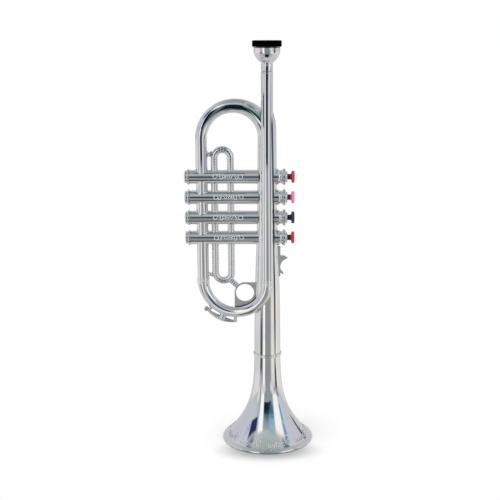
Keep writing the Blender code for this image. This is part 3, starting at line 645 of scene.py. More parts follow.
def swept_piece(name, path, radii, facets, replaces):
    """Piece of round section along a path."""
    shape = bmesh.new()
    add_rows(shape, swept_rows(path, radii, facets))
    piece(name, shape, replaces)


SHAPE = ("Geometry", "Geometry")
COAT = ("Material", "Material")


def guide_curves(tree, given):
    """Guide lines as curves, and the same curves with points at the given spacing."""
    lines = made(tree, "GeometryNodeMeshToCurve", {"Mesh": given["Geometry"]}).outputs[0]
    inputs = {"Curve": lines, "Length": given["Spacing"]}
    return lines, made(tree, "GeometryNodeResampleCurve", inputs, mode="LENGTH").outputs[0]


def circle(tree, resolution, radius):
    """Round curve."""
    inputs = {"Resolution": resolution, "Radius": radius}
    return made(tree, "GeometryNodeCurvePrimitiveCircle", inputs).outputs["Curve"]


def wired(tree, lines, radius, caps):
    """Thin wire along curves."""
    return made(tree, "GeometryNodeCurveToMesh", {
        "Curve": lines, "Profile Curve": circle(tree, 6, radius), "Fill Caps": caps,
    }).outputs[0]


def strewn(tree, points, instance, **more):
    """Instances on points."""
    inputs = {"Points": points, "Instance": instance, **more}
    return made(tree, "GeometryNodeInstanceOnPoints", inputs).outputs[0]


def end_tree(tree, geometry, material):
    """Close a geometry tree: plain smooth mesh with its material."""
    plain = made(tree, "GeometryNodeRealizeInstances", {"Geometry": geometry}).outputs[0]
    smooth = made(tree, "GeometryNodeSetShadeSmooth", {"Geometry": plain}).outputs[0]
    coated = made(tree, "GeometryNodeSetMaterial", {"Geometry": smooth, "Material": material}).outputs[0]
    made(tree, "NodeGroupOutput", {"Geometry": coated})
    return tree


def relief_tree():
    """Beads and a thin wire along guide lines, repeated round an axis."""
    if "beaded_relief" in bpy.data.node_groups:
        return bpy.data.node_groups["beaded_relief"]
    tree, given = new_group("beaded_relief", "GeometryNodeTree", (
        SHAPE, ("Bead Radius", "Float", 0.0005), ("Spacing", "Float", 0.0012),
        ("Wire Radius", "Float", 0.0002), ("Repeats", "Int", 1), ("Centre", "Vector", (0.0, 0.0, 0.0)),
        ("Seed", "Int", 3), COAT,
    ), (SHAPE,))
    lines, spread = guide_curves(tree, given)
    ball = {"Segments": 8, "Rings": 6, "Radius": given["Bead Radius"]}
    bead = made(tree, "GeometryNodeMeshUVSphere", ball).outputs["Mesh"]
    range_and_seed = {2: 0.72, 3: 1.1, 8: given["Seed"]}
    size = made(tree, "FunctionNodeRandomValue", range_and_seed, data_type="FLOAT").outputs[1]
    motif = made(tree, "GeometryNodeJoinGeometry", {0: strewn(tree, spread, bead, Scale=size)})
    tree.links.new(wired(tree, lines, given["Wire Radius"], True), motif.inputs[0])
    hub = {"Count": given["Repeats"], "Position": given["Centre"]}
    places = made(tree, "GeometryNodePoints", hub).outputs[0]
    step = figured(tree, "DIVIDE", 2 * math.pi, given["Repeats"])
    turn = product(tree, tree.nodes.new("GeometryNodeInputIndex").outputs[0], step)
    facing = made(tree, "ShaderNodeCombineXYZ", {"Z": turn}).outputs[0]
    return end_tree(tree, strewn(tree, places, motif.outputs[0], Rotation=facing), given["Material"])


def ribs_tree():
    """Thin rings across guide lines, at an even spacing."""
    if "pipe_ribs" in bpy.data.node_groups:
        return bpy.data.node_groups["pipe_ribs"]
    tree, given = new_group("pipe_ribs", "GeometryNodeTree", (
        SHAPE, ("Spacing", "Float", 0.0028), ("Ring Radius", "Float", 0.0036),
        ("Wire Radius", "Float", 0.0002), COAT,
    ), (SHAPE,))
    spread = guide_curves(tree, given)[1]
    places = made(tree, "GeometryNodeCurveToPoints", {"Curve": spread}, mode="EVALUATED").outputs
    rib = wired(tree, circle(tree, 32, given["Ring Radius"]), given["Wire Radius"], False)
    whole = strewn(tree, places["Points"], rib, Rotation=places["Rotation"])
    return end_tree(tree, whole, given["Material"])


def grown_piece(name, tree, guides, values, replaces):
    """Piece that a geometry tree makes along guide lines."""
    mesh = bpy.data.meshes.new(name)
    points = []
    edges = []
    for guide in guides:
        edges += [(len(points) + step, len(points) + step + 1) for step in range(len(guide) - 1)]
        points += guide
    mesh.from_pydata(points, edges, [])
    item = linked(name, mesh)
    grown = item.modifiers.new(name, "NODES")
    grown.node_group = tree
    chosen = {"Material": finish("relief"), **values}
    for socket in tree.interface.items_tree:
        if socket.in_out == "INPUT" and socket.name in chosen:
            grown[socket.identifier] = chosen[socket.name]
    settled(item, replaces, "root")


# height and outer radius of the bell tube, from its foot to its closed top
TUBE_OUTLINE = (
    (0.0950, 0.0139), (0.1640, 0.0130), (0.2315, 0.0107), (0.33495, 0.0094), (0.34995, 0.0062),
    (0.35345, 0.0048),
)
# radius and height of the tube's round shoulder
SHOULDER = (
    (0.0094, 0.33495), (0.0087, 0.3395), (0.0076, 0.3448), (0.0062, 0.34995), (0.0044, 0.3532),
    (0.0, 0.35345),
)
TUBE_FOOT = 0.0870
TUBE_WALL = 0.0015


def bell_radius(sizes, height):
    """Outer radius of the bell's wall at a height."""
    flare = cad_size("bell").x / 2 - sizes.lip_proud - sizes.throat_radius
    fall = height / sizes.flare_run + (height / sizes.flare_bend) ** 2
    return sizes.throat_radius + flare * math.exp(-fall)


def tube_radius(height):
    """Outer radius of the bell tube at a height."""
    for (low, wide), (high, narrow) in zip(TUBE_OUTLINE, TUBE_OUTLINE[1:]):
        if height <= high:
            return wide + (narrow - wide) * max(height - low, 0.0) / (high - low)
    return TUBE_OUTLINE[-1][1]


def tuning_point(sizes, angle, radius):
    """Point about the tuning bow's centre, on the slanted plane that it lies in."""
    point = on_circle(-sizes.radius, TUNING_HEIGHT, radius, angle)
    point.y = PIPE_Y * (1 + math.cos(angle)) / 2
    return point


class TRUMPET_OT_bell(bpy.types.Operator):
    """Make the flared bell, its collar and the bell tube"""

    bl_idname = "trumpet.bell"
    bl_label = "Bell and bell tube"

    def execute(self, context):
        sizes = context.scene.trumpet_bell
        rim = cad_size("bell").x / 2
        lip = sizes.lip_height
        lip_start = lip * 1.5
        lip_gap = 0.0003
        heights = [BELL_TOP * part ** 1.5 for part in spaced(1.0, 0.0, 64)[:-1]]
        outline = [(bell_radius(sizes, height), height) for height in heights if height > lip_start]
        outline += rounded(
            (
                (bell_radius(sizes, lip_start), lip_start), (rim - sizes.lip_proud - 0.0007, lip * 1.1),
                (rim - 0.0005, lip), (rim, lip * 0.65), (rim, lip_gap), (rim - lip_gap, 0.0),
                (rim - 0.0024, 0.0), (rim - 0.0026, lip_gap),
            ), 0.0004, 3,
        )
        for height in reversed(heights):
            if height > lip_gap:
                wide = bell_radius(sizes, height)
                fall = 1 / sizes.flare_run + 2 * height / sizes.flare_bend ** 2
                slope = (wide - sizes.throat_radius) * fall
                outline.append((wide - sizes.wall * math.hypot(1, slope), height))
        turned_piece("bell_shell", outline, sizes.facets, AXIS, ("bell",), ring=True, sharp=50.0)

        low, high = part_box("bell_collar")
        bore = tube_radius(0.0) + 0.0003
        face = bore + sizes.collar_proud
        inside = bore - 0.0006
        outline = rounded(
            (
                (inside, high.z), (face - 0.0003, high.z), (face, high.z - 0.0006),
                (face - 0.0002, (low.z + high.z) / 2), (face, low.z + 0.0006), (face - 0.0003, low.z),
                (inside, low.z),
            ), 0.0004, 4,
        )
        turned_piece("collar_ring", outline, sizes.facets, AXIS, ("bell_collar",), ring=True)

        outline = [(0.0, 0.3340), (0.0079, 0.3335)]
        outline += [(wide - TUBE_WALL, height) for height, wide in reversed(TUBE_OUTLINE[1:3])]
        outline += [(0.0110, TUBE_FOOT), (0.0119, TUBE_FOOT), (0.0121, 0.0949)]
        outline += flowing([(wide, height) for height, wide in TUBE_OUTLINE[:4]], 12) + flowing(SHOULDER, 6)
        turned_piece("bell_tube_body", outline, 96, AXIS, ("bell_tube",), material="grooved")
        return {"FINISHED"}


class TRUMPET_OT_crooks(bpy.types.Operator):
    """Make the bell bow, tuning bow, limb, leadpipe and ferrules"""

    bl_idname = "trumpet.crooks"
    bl_label = "Bows, limb and leadpipe"

    def execute(self, context):
        sizes = context.scene.trumpet_crooks
        limb_x = -2 * sizes.radius
        pipe = sizes.pipe_radius
        path = [at(limb_x, z=height) for height in spaced(VALVE_HEIGHTS[0], BOW_HEIGHT, 8)[:-1]]
        radii = [pipe] * len(path)
        growth = tube_radius(BOW_HEIGHT) - pipe
        for along in spaced(0.0, 1.0, sizes.bends):
            path.append(on_circle(-sizes.radius, BOW_HEIGHT, sizes.radius, math.pi * (1 - along)))
            radii.append(pipe + growth * along ** sizes.growth)
        swept_piece("bell_bend", path, radii, sizes.facets, ("bell_bow",))

        foot = TUNING_HEIGHT + 0.0015
        path = [at(limb_x, z=foot)]
        radii = [pipe]
        for along in spaced(0.0, 1.0, sizes.bends):
            path.append(tuning_point(sizes, math.pi * (1 + along), sizes.radius))
            radii.append(pipe - sizes.waist * math.sin(math.pi * along))
        path.append(at(y=PIPE_Y, z=foot))
        radii.append(pipe)
        swept_piece("tuning_bend", path, radii, sizes.facets, ("tuning_bow",))
        path = [at(limb_x, z=foot), at(limb_x, z=VALVE_HEIGHTS[-1])]
        swept_piece("limb_tube", path, [pipe, pipe], sizes.facets, ("limb_lower",))

        bore = sizes.leadpipe_bore
        wide = sizes.leadpipe_radius
        lip = wide + 0.0003
        socket = PIPE_TOP - 0.022
        outline = [(0.0, socket), (bore, socket)] + rounded(
            (
                (bore, PIPE_TOP - 0.002), (bore, PIPE_TOP), (lip, PIPE_TOP), (lip, PIPE_TOP - 0.0011),
                (wide, PIPE_TOP - 0.0014), (wide, PIPE_TOP - 0.012),
            ), 0.0003, 4,
        ) + [(wide, foot), (0.0, foot)]
        turned_piece("lead_tube", outline, sizes.facets * 2, at(y=PIPE_Y), ("leadpipe",), material="seamed")

        for name, place, inside in (
            ("ferrule_left", at(limb_x, z=TUNING_HEIGHT), pipe),
            ("ferrule_right", at(y=PIPE_Y, z=TUNING_HEIGHT), wide),
        ):
            bore = inside - 0.0002
            face = inside + 0.0002
            corners = ((bore, 0.0026), (face, 0.0026), (face, -0.0034), (bore, -0.0034))
            outline = rounded(corners, 0.0002, 3, ring=True)
            turned_piece(name + "_band", outline, sizes.facets, place, (name,), ring=True)
            guide = [place + Vector((0.0, 0.0, height)) for height in (0.0022, -0.0030)]
            grown_piece(name + "_rings", ribs_tree(), [guide], {
                "Spacing": 0.0013, "Ring Radius": face, "Wire Radius": 0.00032,
            }, (name,))
        return {"FINISHED"}


class TRUMPET_OT_mouthpiece(bpy.types.Operator):
    """Make the mouthpiece's cup and its soft black ring"""

    bl_idname = "trumpet.mouthpiece"
    bl_label = "Mouthpiece"

    def execute(self, context):
        sizes = context.scene.trumpet_mouthpiece
        centre = at(y=PIPE_Y)
        seat = PIPE_TOP + 0.0003
        foot = seat + 0.0095
        floor = foot + 0.0018
        top = CUP_TOP - 0.0003
        neck = sizes.bowl_radius + 0.0013
        neck_top = RIM_TOP - 0.0014
        shank = sizes.shank_radius
        stem = sizes.stem_radius
        # rise and width of the cup's outside from its top, and of its bowl from the floor, as shares
        cup_shares = ((0.60, 0.961), (0.41, 0.883), (0.275, 0.802), (0.135, 0.683), (0.0, 0.53))
        bowl_shares = ((0.0, 0.24), (0.08, 0.52), (0.22, 0.78), (0.42, 0.93), (0.70, 1.0), (1.0, 1.0))
        cup = [(sizes.cup_radius, top - 0.0006)]
        cup += [(sizes.cup_radius * wide, foot + (top - foot) * rise) for rise, wide in cup_shares]
        cup += [(stem, foot - 0.0012), (stem, foot - 0.004)]
        bowl = [(0.0021, foot)]
        bowl += [(sizes.bowl_radius * wide, floor + (top - floor) * rise) for rise, wide in bowl_shares]
        outline = [(neck, neck_top), (neck, top), (sizes.cup_radius - 0.0004, top)] + flowing(cup, 8)
        outline += rounded(
            (
                (stem, foot - 0.005), (stem, seat), (shank, seat), (shank, seat - 0.02),
                (0.0030, seat - 0.02), (0.0030, seat - 0.019),
            ), 0.0004, 3,
        )
        outline += flowing(bowl, 5) + [(sizes.bowl_radius, neck_top)]
        turned_piece(
            "cup_shell", outline, sizes.facets, centre, ("mouthpiece_cup",), ring=True, body="mouthpiece"
        )
        bore = neck + 0.0003
        outline = rounded(
            (
                (bore + 0.0010, RIM_TOP), (sizes.rim_radius, RIM_TOP), (sizes.rim_radius, CUP_TOP),
                (bore, CUP_TOP), (bore, neck_top),
            ), sizes.rim_soften, 8, ring=True,
        )
        turned_piece(
            "soft_ring", outline, sizes.facets, centre, ("mouthpiece_rim",), ring=True, material="black",
            body="mouthpiece", slot="black_rim",
        )
        return {"FINISHED"}


def add_link(shape, centre_x, radius, low, high, sizes, facets):
    """Add an upright pipe between two casings, with a hollow curve where it meets each."""
    fillet = sizes.fillet
    curve = [(fillet * (1 - along) ** 1.6, fillet * 1.4 * along) for along in spaced(0.0, 1.0, 10)]
    casing = sizes.casing_radius
    rows = []
    for base, direction, ends in ((low, 1, curve), (high, -1, reversed(curve))):
        for flare, rise in ends:
            row = []
            for angle in round_angles(facets):
                spread = radius + flare * (0.45 + 0.55 * abs(math.cos(angle)))
                side = min(spread * abs(math.sin(angle)), casing * 0.995)
                saddle = math.sqrt(casing ** 2 - side ** 2) - 0.0002
                height = base + direction * (saddle + rise)
                row.append(at(centre_x + spread * math.cos(angle), spread * math.sin(angle), height))
            rows.append(row)
    add_rows(shape, rows)


CASING_LEFT = CAP_LEFT + 0.0053
CASING_RIGHT = -0.0085
CAP_SEAT = 0.0047
SPOOL_END = 0.0166
CAP_FACE = 0.0208


class TRUMPET_OT_valves(bpy.types.Operator):
    """Make the valve casings with the pipes between them, and their caps"""

    bl_idname = "trumpet.valves"
    bl_label = "Valve casings and caps"

    def execute(self, context):
        sizes = context.scene.trumpet_valves
        crooks = context.scene.trumpet_crooks
        fittings = context.scene.trumpet_fittings
        pipes = (
            (-2 * crooks.radius, crooks.pipe_radius),
            (SLIDE_X - fittings.slide_bend, fittings.slide_radius),
            (SLIDE_X + fittings.slide_bend, fittings.slide_radius),
        )
        bore = sizes.bore_radius
        casing = sizes.casing_radius
        for number, height in zip(VALVES, VALVE_HEIGHTS):
            centre = at(z=height)
            shape = bmesh.new()
            outline = rounded(
                (
                    (bore, CASING_LEFT), (casing, CASING_LEFT), (casing, CASING_RIGHT), (bore, CASING_RIGHT),
                ), 0.0003, 2, ring=True,
            )
            add_rows(shape, turned_rows(outline, sizes.facets, centre, "X"), ring=True)
            if number < len(VALVES):
                for place, radius in pipes:
                    add_link(shape, place, radius, VALVE_HEIGHTS[number], height, sizes, crooks.facets)
            piece(f"casing_body_{number}", shape, (f"valve_casing_{number}",))

            shoulder = CAP_LEFT + 0.0050
            spigot = bore - 0.0003
            flange = sizes.left_flange
            outline = [(0.0, shoulder + 0.0050), (spigot, shoulder + 0.0050)] + rounded(
                (
                    (spigot, shoulder + 0.001), (spigot, shoulder), (flange, shoulder),
                    (flange, shoulder - 0.0017), (0.0064, shoulder - 0.0020), (0.0066, CAP_LEFT + 0.0010),
                    (0.0054, CAP_LEFT), (0.002, CAP_LEFT),
                ), 0.0004, 4,
            ) + [(0.0, CAP_LEFT)]
            turned_piece(f"left_cap_{number}", outline, sizes.facets, centre, (f"bottom_cap_{number}",), "X")

            base = tube_radius(height) - 0.0004
            spool = base + 0.0016
            guide = sizes.stem_radius + 0.0003
            flange = 0.0080
            wide = sizes.right_flange
            outline = [(guide, CAP_SEAT), (flange, CAP_SEAT), (flange, base), (flange, spool)]
            for along in spaced(0.0, 1.0, 8):
                edge = flange + (wide - flange) * along
                hollow = (edge - sizes.right_waist) * math.sin(math.pi * along) ** 0.8
                outline.append((edge - hollow, spool + (SPOOL_END - spool) * along))
            outline += [(wide, 0.0184), (0.0070, 0.0190), (0.0056, 0.0196), (0.0056, CAP_FACE)]
            outline = rounded(outline + [(guide, CAP_FACE)], 0.0003, 3, ring=True)
            turned_piece(
                f"right_cap_{number}", outline, sizes.facets, centre, (f"top_cap_{number}",), "X", ring=True
            )
        return {"FINISHED"}


def curl(along, across, radius, start, turn, tail):
    """Flat scroll: an arc from a start angle through a turn, drawing in by its tail."""
    points = []
    for part in spaced(0.0, 1.0, max(8, int(abs(turn) / 18))):
        angle = math.radians(start + turn * part)
        reach = radius * (1 - tail * part)
        points.append((along + reach * math.cos(angle), across + reach * math.sin(angle)))
    return points


# scrolls: middle along and across, radius, start, turn, tail
CASING_CURLS = (
    (0.0022, 0.0, 0.0023, 40, 300, 0.35), (0.0060, 0.0010, 0.0016, 200, -250, 0.3),
    (0.0082, -0.0010, 0.0016, 20, -240, 0.3), (0.0112, 0.0004, 0.0018, 120, 320, 0.55),
    (0.0142, -0.0006, 0.0016, 210, -260, 0.4), (0.0184, 0.0, 0.0019, 60, 320, 0.5),
    (0.0217, 0.0010, 0.0015, 190, -240, 0.3), (0.0243, -0.0009, 0.0016, 10, -250, 0.3),
    (0.0282, 0.0, 0.0023, 140, 345, 0.2),
)
BELL_CURLS = (
    (-0.0100, 0.0075, 0.0047, 60, 250, 0.25), (-0.0098, 0.0070, 0.0022, 250, -260, 0.3),
    (0.0030, 0.0050, 0.0020, 120, 300, 0.5), (0.0075, 0.0046, 0.0019, 200, -270, 0.5),
    (0.0120, 0.0052, 0.0021, 90, 300, 0.5), (0.0165, 0.0046, 0.0018, 190, -260, 0.4),
    (0.0205, 0.0050, 0.0017, 60, 280, 0.4),
)


class TRUMPET_OT_ornament(bpy.types.Operator):
    """Make the beaded scrolls on the casings and round the bell"""

    bl_idname = "trumpet.ornament"
    bl_label = "Scrolls"

    def execute(self, context):
        sizes = context.scene.trumpet_ornament
        casing = context.scene.trumpet_valves.casing_radius
        reach = casing + sizes.lift
        beads = {
            "Bead Radius": sizes.bead, "Spacing": sizes.spacing, "Wire Radius": sizes.wire, "Centre": AXIS,
        }
        for number, height in zip(VALVES, VALVE_HEIGHTS):
            guides = []
            for along, across, radius, start, turn, tail in CASING_CURLS:
                if number % 2 == 0:
                    along = sizes.casing_length - along
                    start = 180 - start
                    turn = -turn
                guide = []
                for run, rise in curl(along, across, radius, start, turn, tail):
                    angle = rise / casing + sizes.casing_tilt
                    guide.append(Vector((
                        sizes.casing_start + run, -reach * math.cos(angle), height + reach * math.sin(angle)
                    )))
                guides.append(guide)
            grown_piece(
                f"casing_scrolls_{number}", relief_tree(), guides, {**beads, "Seed": sizes.seed + number},
                (f"valve_casing_{number}",),
            )
        guides = []
        rim = cad_size("bell").x / 2
        for along, across, *bend in BELL_CURLS:
            guide = []
            for run, height in curl(along, across + sizes.bell_lift, *bend):
                angle = run / rim - math.pi / 2
                wide = bell_radius(context.scene.trumpet_bell, height) + sizes.lift
                guide.append(Vector((wide * math.cos(angle), wide * math.sin(angle), height)))
            guides.append(guide)
        values = {**beads, "Repeats": sizes.repeats, "Seed": sizes.seed}
        grown_piece("bell_scrolls", relief_tree(), guides, values, ("bell",))
        return {"FINISHED"}


class TRUMPET_OT_buttons(bpy.types.Operator):
    """Make the four coloured buttons"""

    bl_idname = "trumpet.buttons"
    bl_label = "Buttons"

    def execute(self, context):
        sizes = context.scene.trumpet_valves
        head = sizes.head_radius
        stem = sizes.stem_radius
        stop = -0.0166
        peg = 0.0015
        for number, height, dye in zip(VALVES, VALVE_HEIGHTS, ("red", "pink", "navy", "red")):
            low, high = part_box(f"valve_button_{number}")
            end = low.x - AXIS.x
            face = high.x - AXIS.x
            under = face - HEAD_DEPTH
            outline = [(0.0, face - 0.0002)] + rounded(
                (
                    (0.002, face - 0.0002), (head - 0.0014, face), (head, face - 0.0005),
                    (head, under + 0.0002), (stem + 0.0010, under), (stem, under - 0.0009),
                    (stem, under - 0.003),
                ), 0.0006,
            ) + [(stem, stop), (peg, stop), (peg, end), (0.0, end)]
            turned_piece(
                f"key_button_{number}", outline, 64, at(z=height), (f"valve_button_{number}",), "X",
                material=dye, body=f"button_{number}", slot=f"button_{dye}",
            )
        return {"FINISHED"}


class TRUMPET_OT_slide(bpy.types.Operator):
    """Make the small slide's ribbed bends and its braces"""

    bl_idname = "trumpet.slide"
    bl_label = "Small slide and braces"

    def execute(self, context):
        sizes = context.scene.trumpet_fittings
        crooks = context.scene.trumpet_crooks
        ornament = context.scene.trumpet_ornament
        pipe = sizes.slide_radius
        bend = sizes.slide_bend
        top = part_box("small_slide_upper")[1].z
        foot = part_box("small_slide_lower")[0].z
        for name, outermost, end, direction, node in (
            ("slide_top", top, VALVE_HEIGHTS[0], 1, "small_slide_upper"),
            ("slide_foot", foot, VALVE_HEIGHTS[-1], -1, "small_slide_lower"),
        ):
            height = outermost - direction * (pipe + bend)
            arc = [on_circle(SLIDE_X, height, bend, direction * angle) for angle in spaced(math.pi, 0.0, 40)]
            path = [at(SLIDE_X - bend, z=end)] + arc + [at(SLIDE_X + bend, z=end)]
            swept_piece(name, path, [pipe] * len(path), sizes.facets, (node,))
            grown_piece(name + "_ribs", ribs_tree(), [path], {
                "Spacing": ornament.rib_spacing, "Ring Radius": pipe, "Wire Radius": ornament.rib,
            }, (node,))
        limb_face = -2 * crooks.radius + crooks.pipe_radius
        slide_face = SLIDE_X - bend - pipe
        middle = (limb_face + slide_face) / 2
        for name, wide, waist in (("brace_upper", 0.0034, 0.0012), ("brace_lower", 0.0024, 0.0006)):
            start = limb_face - wide
            end = slide_face + pipe * 0.8
            outline = [(0.0, start), (wide, start)]
            for along in spaced(-1.0, 1.0, 12):
                outline.append((wide - waist * (1 - along ** 2), middle + (slide_face - middle) * along))
            outline += [(wide, end), (0.0, end)]
            turned_piece(name + "_tie", outline, 32, at(z=cad_middle(name).z), (name,), "X")
        return {"FINISHED"}


def add_plate(shape, outlines, thickness, depth):
    """Add a flat plate of (x, z) outlines, the first outside and the rest holes."""
    curve = bpy.data.curves.new("plate_guide", "CURVE")
    curve.dimensions = "2D"
    curve.fill_mode = "BOTH"
    curve.extrude = thickness / 2
    for outline in outlines:
        spline = curve.splines.new("POLY")
        spline.points.add(len(outline) - 1)
        spline.use_cyclic_u = True
        for point, (x, z) in zip(spline.points, outline):
            point.co = (x, z, 0.0, 1.0)
    guide = linked("plate_guide", curve)
    mesh = bpy.data.meshes.new_from_object(guide.evaluated_get(bpy.context.evaluated_depsgraph_get()))
    bpy.data.objects.remove(guide)
    mesh.transform(Matrix.Translation(at(y=depth)) @ Matrix.Rotation(math.pi / 2, 4, "X"))
    shape.from_mesh(mesh)
    bpy.data.meshes.remove(mesh)
    bmesh.ops.remove_doubles(shape, verts=shape.verts, dist=WELD)


def soften_edges(shape, width):
    """Round a shape's sharp edges."""
    bmesh.ops.recalc_face_normals(shape, faces=shape.faces)
    bmesh.ops.dissolve_limit(shape, angle_limit=math.radians(1.0), verts=shape.verts, edges=shape.edges)
    sharp = math.radians(60)
    edges = [edge for edge in shape.edges if len(edge.link_faces) == 2 and edge.calc_face_angle() > sharp]
    bmesh.ops.bevel(shape, geom=edges, offset=width, segments=3, affect="EDGES", profile=0.5)


def arc_points(centre, radius, start, end, steps):
    """Flat points along an arc."""
    angles = spaced(start, end, steps)
    return [centre + radius * Vector((math.cos(angle), math.sin(angle))) for angle in angles]


# the finger hook: how far out from the bell tube and how high up, as shares
HOOK_SHARES = (
    (0.0, 1.0), (0.0, 0.71), (0.30, 0.70), (0.55, 0.69), (0.80, 0.655), (1.0, 0.62), (0.85, 0.592),
    (0.63, 0.57), (0.36, 0.53), (0.19, 0.478), (0.07, 0.42), (0.0, 0.36), (0.0, 0.25), (0.09, 0.22),
    (0.25, 0.17), (0.40, 0.13), (0.42, 0.11), (0.40, 0.09), (0.28, 0.07), (0.12, 0.10), (0.0, 0.12),
    (0.0, 0.0),
)
HOOK_REACH = 0.0076
PLATE_START = 0.0047
STRUT_HALF = 0.00265
RING_DROP = 0.0129
RING_GAP = 0.0010
RING_RIM = 0.0017
STRUT_RISE = 0.0075
KEY_GAP = 0.0041
KEY_SWEEP = (225, 272)
# degrees and radius of the water key's two posts and its pad
KEY_POSTS = ((229, 0.0018), (270, 0.0018), (251, 0.0038))


class TRUMPET_OT_fittings(bpy.types.Operator):
    """Make the finger ring, the finger hook and the water key"""

    bl_idname = "trumpet.fittings"
    bl_label = "Ring, hook and water key"

    def execute(self, context):
        sizes = context.scene.trumpet_fittings
        crooks = context.scene.trumpet_crooks
        height = TUNING_HEIGHT - RING_DROP
        depth = cad_middle("finger_ring").y
        centre = Vector((-tube_radius(height) - RING_GAP - sizes.ring_hole, height))
        outer = sizes.ring_hole + RING_RIM
        strut = Vector((cad_middle("small_slide_lower").x - AXIS.x, TUNING_HEIGHT + STRUT_RISE)) - centre
        reach = strut.length - sizes.slide_bend
        strut.normalize()
        side = Vector((-strut.y, strut.x)) * STRUT_HALF
        heading = math.atan2(strut.y, strut.x)
        spread = math.asin(STRUT_HALF / outer)
        bow = math.acos((centre.x - outer + crooks.radius) / crooks.radius)
        outline = [Vector((-PLATE_START, centre.y + outer))]
        outline += arc_points(centre, outer, math.pi / 2, heading - spread, 14)
        outline += [centre + strut * reach - side, centre + strut * reach + side]
        outline += arc_points(centre, outer, heading + spread, math.pi, 14)
        outline += arc_points(Vector((-crooks.radius, TUNING_HEIGHT)), crooks.radius, -bow, 0.0, 16)
        hole = arc_points(centre, sizes.ring_hole, 0.0, 2 * math.pi, 72)[:-1]
        shape = bmesh.new()
        add_plate(shape, (outline, hole), sizes.ring_thickness, depth)
        soften_edges(shape, sizes.edge)
        piece("ring_plate", shape, ("finger_ring",), "plate")
        ends = [centre + strut * run for run in (outer + 0.0012, reach - 0.0012)]
        grown_piece("ring_strut_ribs", ribs_tree(), [[at(end.x, depth, end.y) for end in ends]], {
            "Spacing": 0.0019, "Ring Radius": 0.0021, "Wire Radius": 0.00055,
        }, ("finger_ring",))

        low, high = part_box("finger_hook")
        face = high.x - AXIS.x - HOOK_REACH
        outline = [(face + HOOK_REACH * out, low.z + (high.z - low.z) * rise) for out, rise in HOOK_SHARES]
        outline += [(PLATE_START, low.z), (PLATE_START, high.z)]
        shape = bmesh.new()
        add_plate(shape, (outline,), sizes.hook_thickness, 0.0)
        soften_edges(shape, sizes.edge)
        piece("hook_plate", shape, ("finger_hook",))

        orbit = crooks.radius + crooks.pipe_radius + KEY_GAP
        path = [tuning_point(crooks, math.radians(degrees), orbit) for degrees in spaced(*KEY_SWEEP, 32)]
        bars = [sizes.key_bar * (0.5 + 1.2 * math.sin(math.pi * along)) for along in spaced(0.0, 1.0, 32)]
        shape = bmesh.new()
        add_rows(shape, swept_rows(path, bars, 24))
        knob = rounded(((0.0, -0.003), (0.0021, -0.003), (0.0021, 0.003), (0.0, 0.003)), 0.0006, 4)
        turn = Matrix.Translation(path[0]) @ Matrix.Rotation(math.pi / 2, 4, "X")
        add_rows(shape, [[turn @ point for point in row] for row in turned_rows(knob, 24, Vector())])
        for degrees, radius in KEY_POSTS:
            post = [tuning_point(crooks, math.radians(degrees), end) for end in (orbit, crooks.radius)]
            add_rows(shape, swept_rows(post, [radius, radius], 32))
        piece("water_lever", shape, ("water_key",))
        return {"FINISHED"}


class TRUMPET_OT_springs(bpy.types.Operator):
    """Make the return springs, each with a mesh of its own"""

    bl_idname = "trumpet.springs"
    bl_label = "Return springs"

    def execute(self, context):
        sizes = context.scene.trumpet_valves
        wire = sizes.spring_wire
        for number in VALVES:
            low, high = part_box(f"return_spring_{number}")
            middle = (low + high) / 2
            radius = (high.z - low.z) / 2 - wire
            path = []
            for along in spaced(0.0, 1.0, sizes.spring_turns * 24):
                angle = 2 * math.pi * sizes.spring_turns * along
                run = low.x + wire + (high.x - low.x - 2 * wire) * along
                place = (run, middle.y + radius * math.cos(angle), middle.z + radius * math.sin(angle))
                path.append(Vector(place))
            shape = bmesh.new()
            add_rows(shape, swept_rows(path, [wire] * len(path), 12, RIGHT))
            spring = piece(
                f"coil_spring_{number}", shape, (f"return_spring_{number}",), "steel", slot="spring_steel"
            )
            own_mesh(spring)
        return {"FINISHED"}


class TRUMPET_OT_inner_parts(bpy.types.Operator):
    """Finish the CAD pieces inside the casings"""

    bl_idname = "trumpet.inner_parts"
    bl_label = "Reeds and pads"

    def execute(self, context):
        for node, look in (("reed_holder", "white"), ("reed", "brass"), ("valve_pad", "silicone")):
            for number in VALVES:
                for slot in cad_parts[f"{node}_{number}"].material_slots:
                    slot.material = finish(look)
        return {"FINISHED"}


def tone(red, green, blue):
    """Linear colour of a swatch given in the usual 0 to 255 steps."""
    parts = []
    for value in (red, green, blue):
        level = value / 255
        parts.append(level / 12.92 if level <= 0.04045 else ((level + 0.055) / 1.055) ** 2.4)
    return (*parts, 1.0)


def card_group():
    """Mask of one soft-edged card of the studio, by azimuth and elevation in degrees."""
    names = ("Azimuth", "Elevation", "Left", "Right", "Low", "High", "Soft")
    inputs = [(name, "Float", 1.0) for name in names]
    group, given = new_group("studio_card", "ShaderNodeTree", inputs, (("Mask", "Float"),))
    sides = []
    for angle, edge, sign in (
        ("Azimuth", "Left", 1), ("Azimuth", "Right", -1), ("Elevation", "Low", 1), ("Elevation", "High", -1),
    ):
        start = figured(group, "MULTIPLY_ADD", given["Soft"], -sign, given[edge])
        end = figured(group, "MULTIPLY_ADD", given["Soft"], sign, given[edge])
        sides.append(ramped(group, given[angle], start, end))
    made(group, "NodeGroupOutput", {"Mask": product(group, *sides)})
    return group


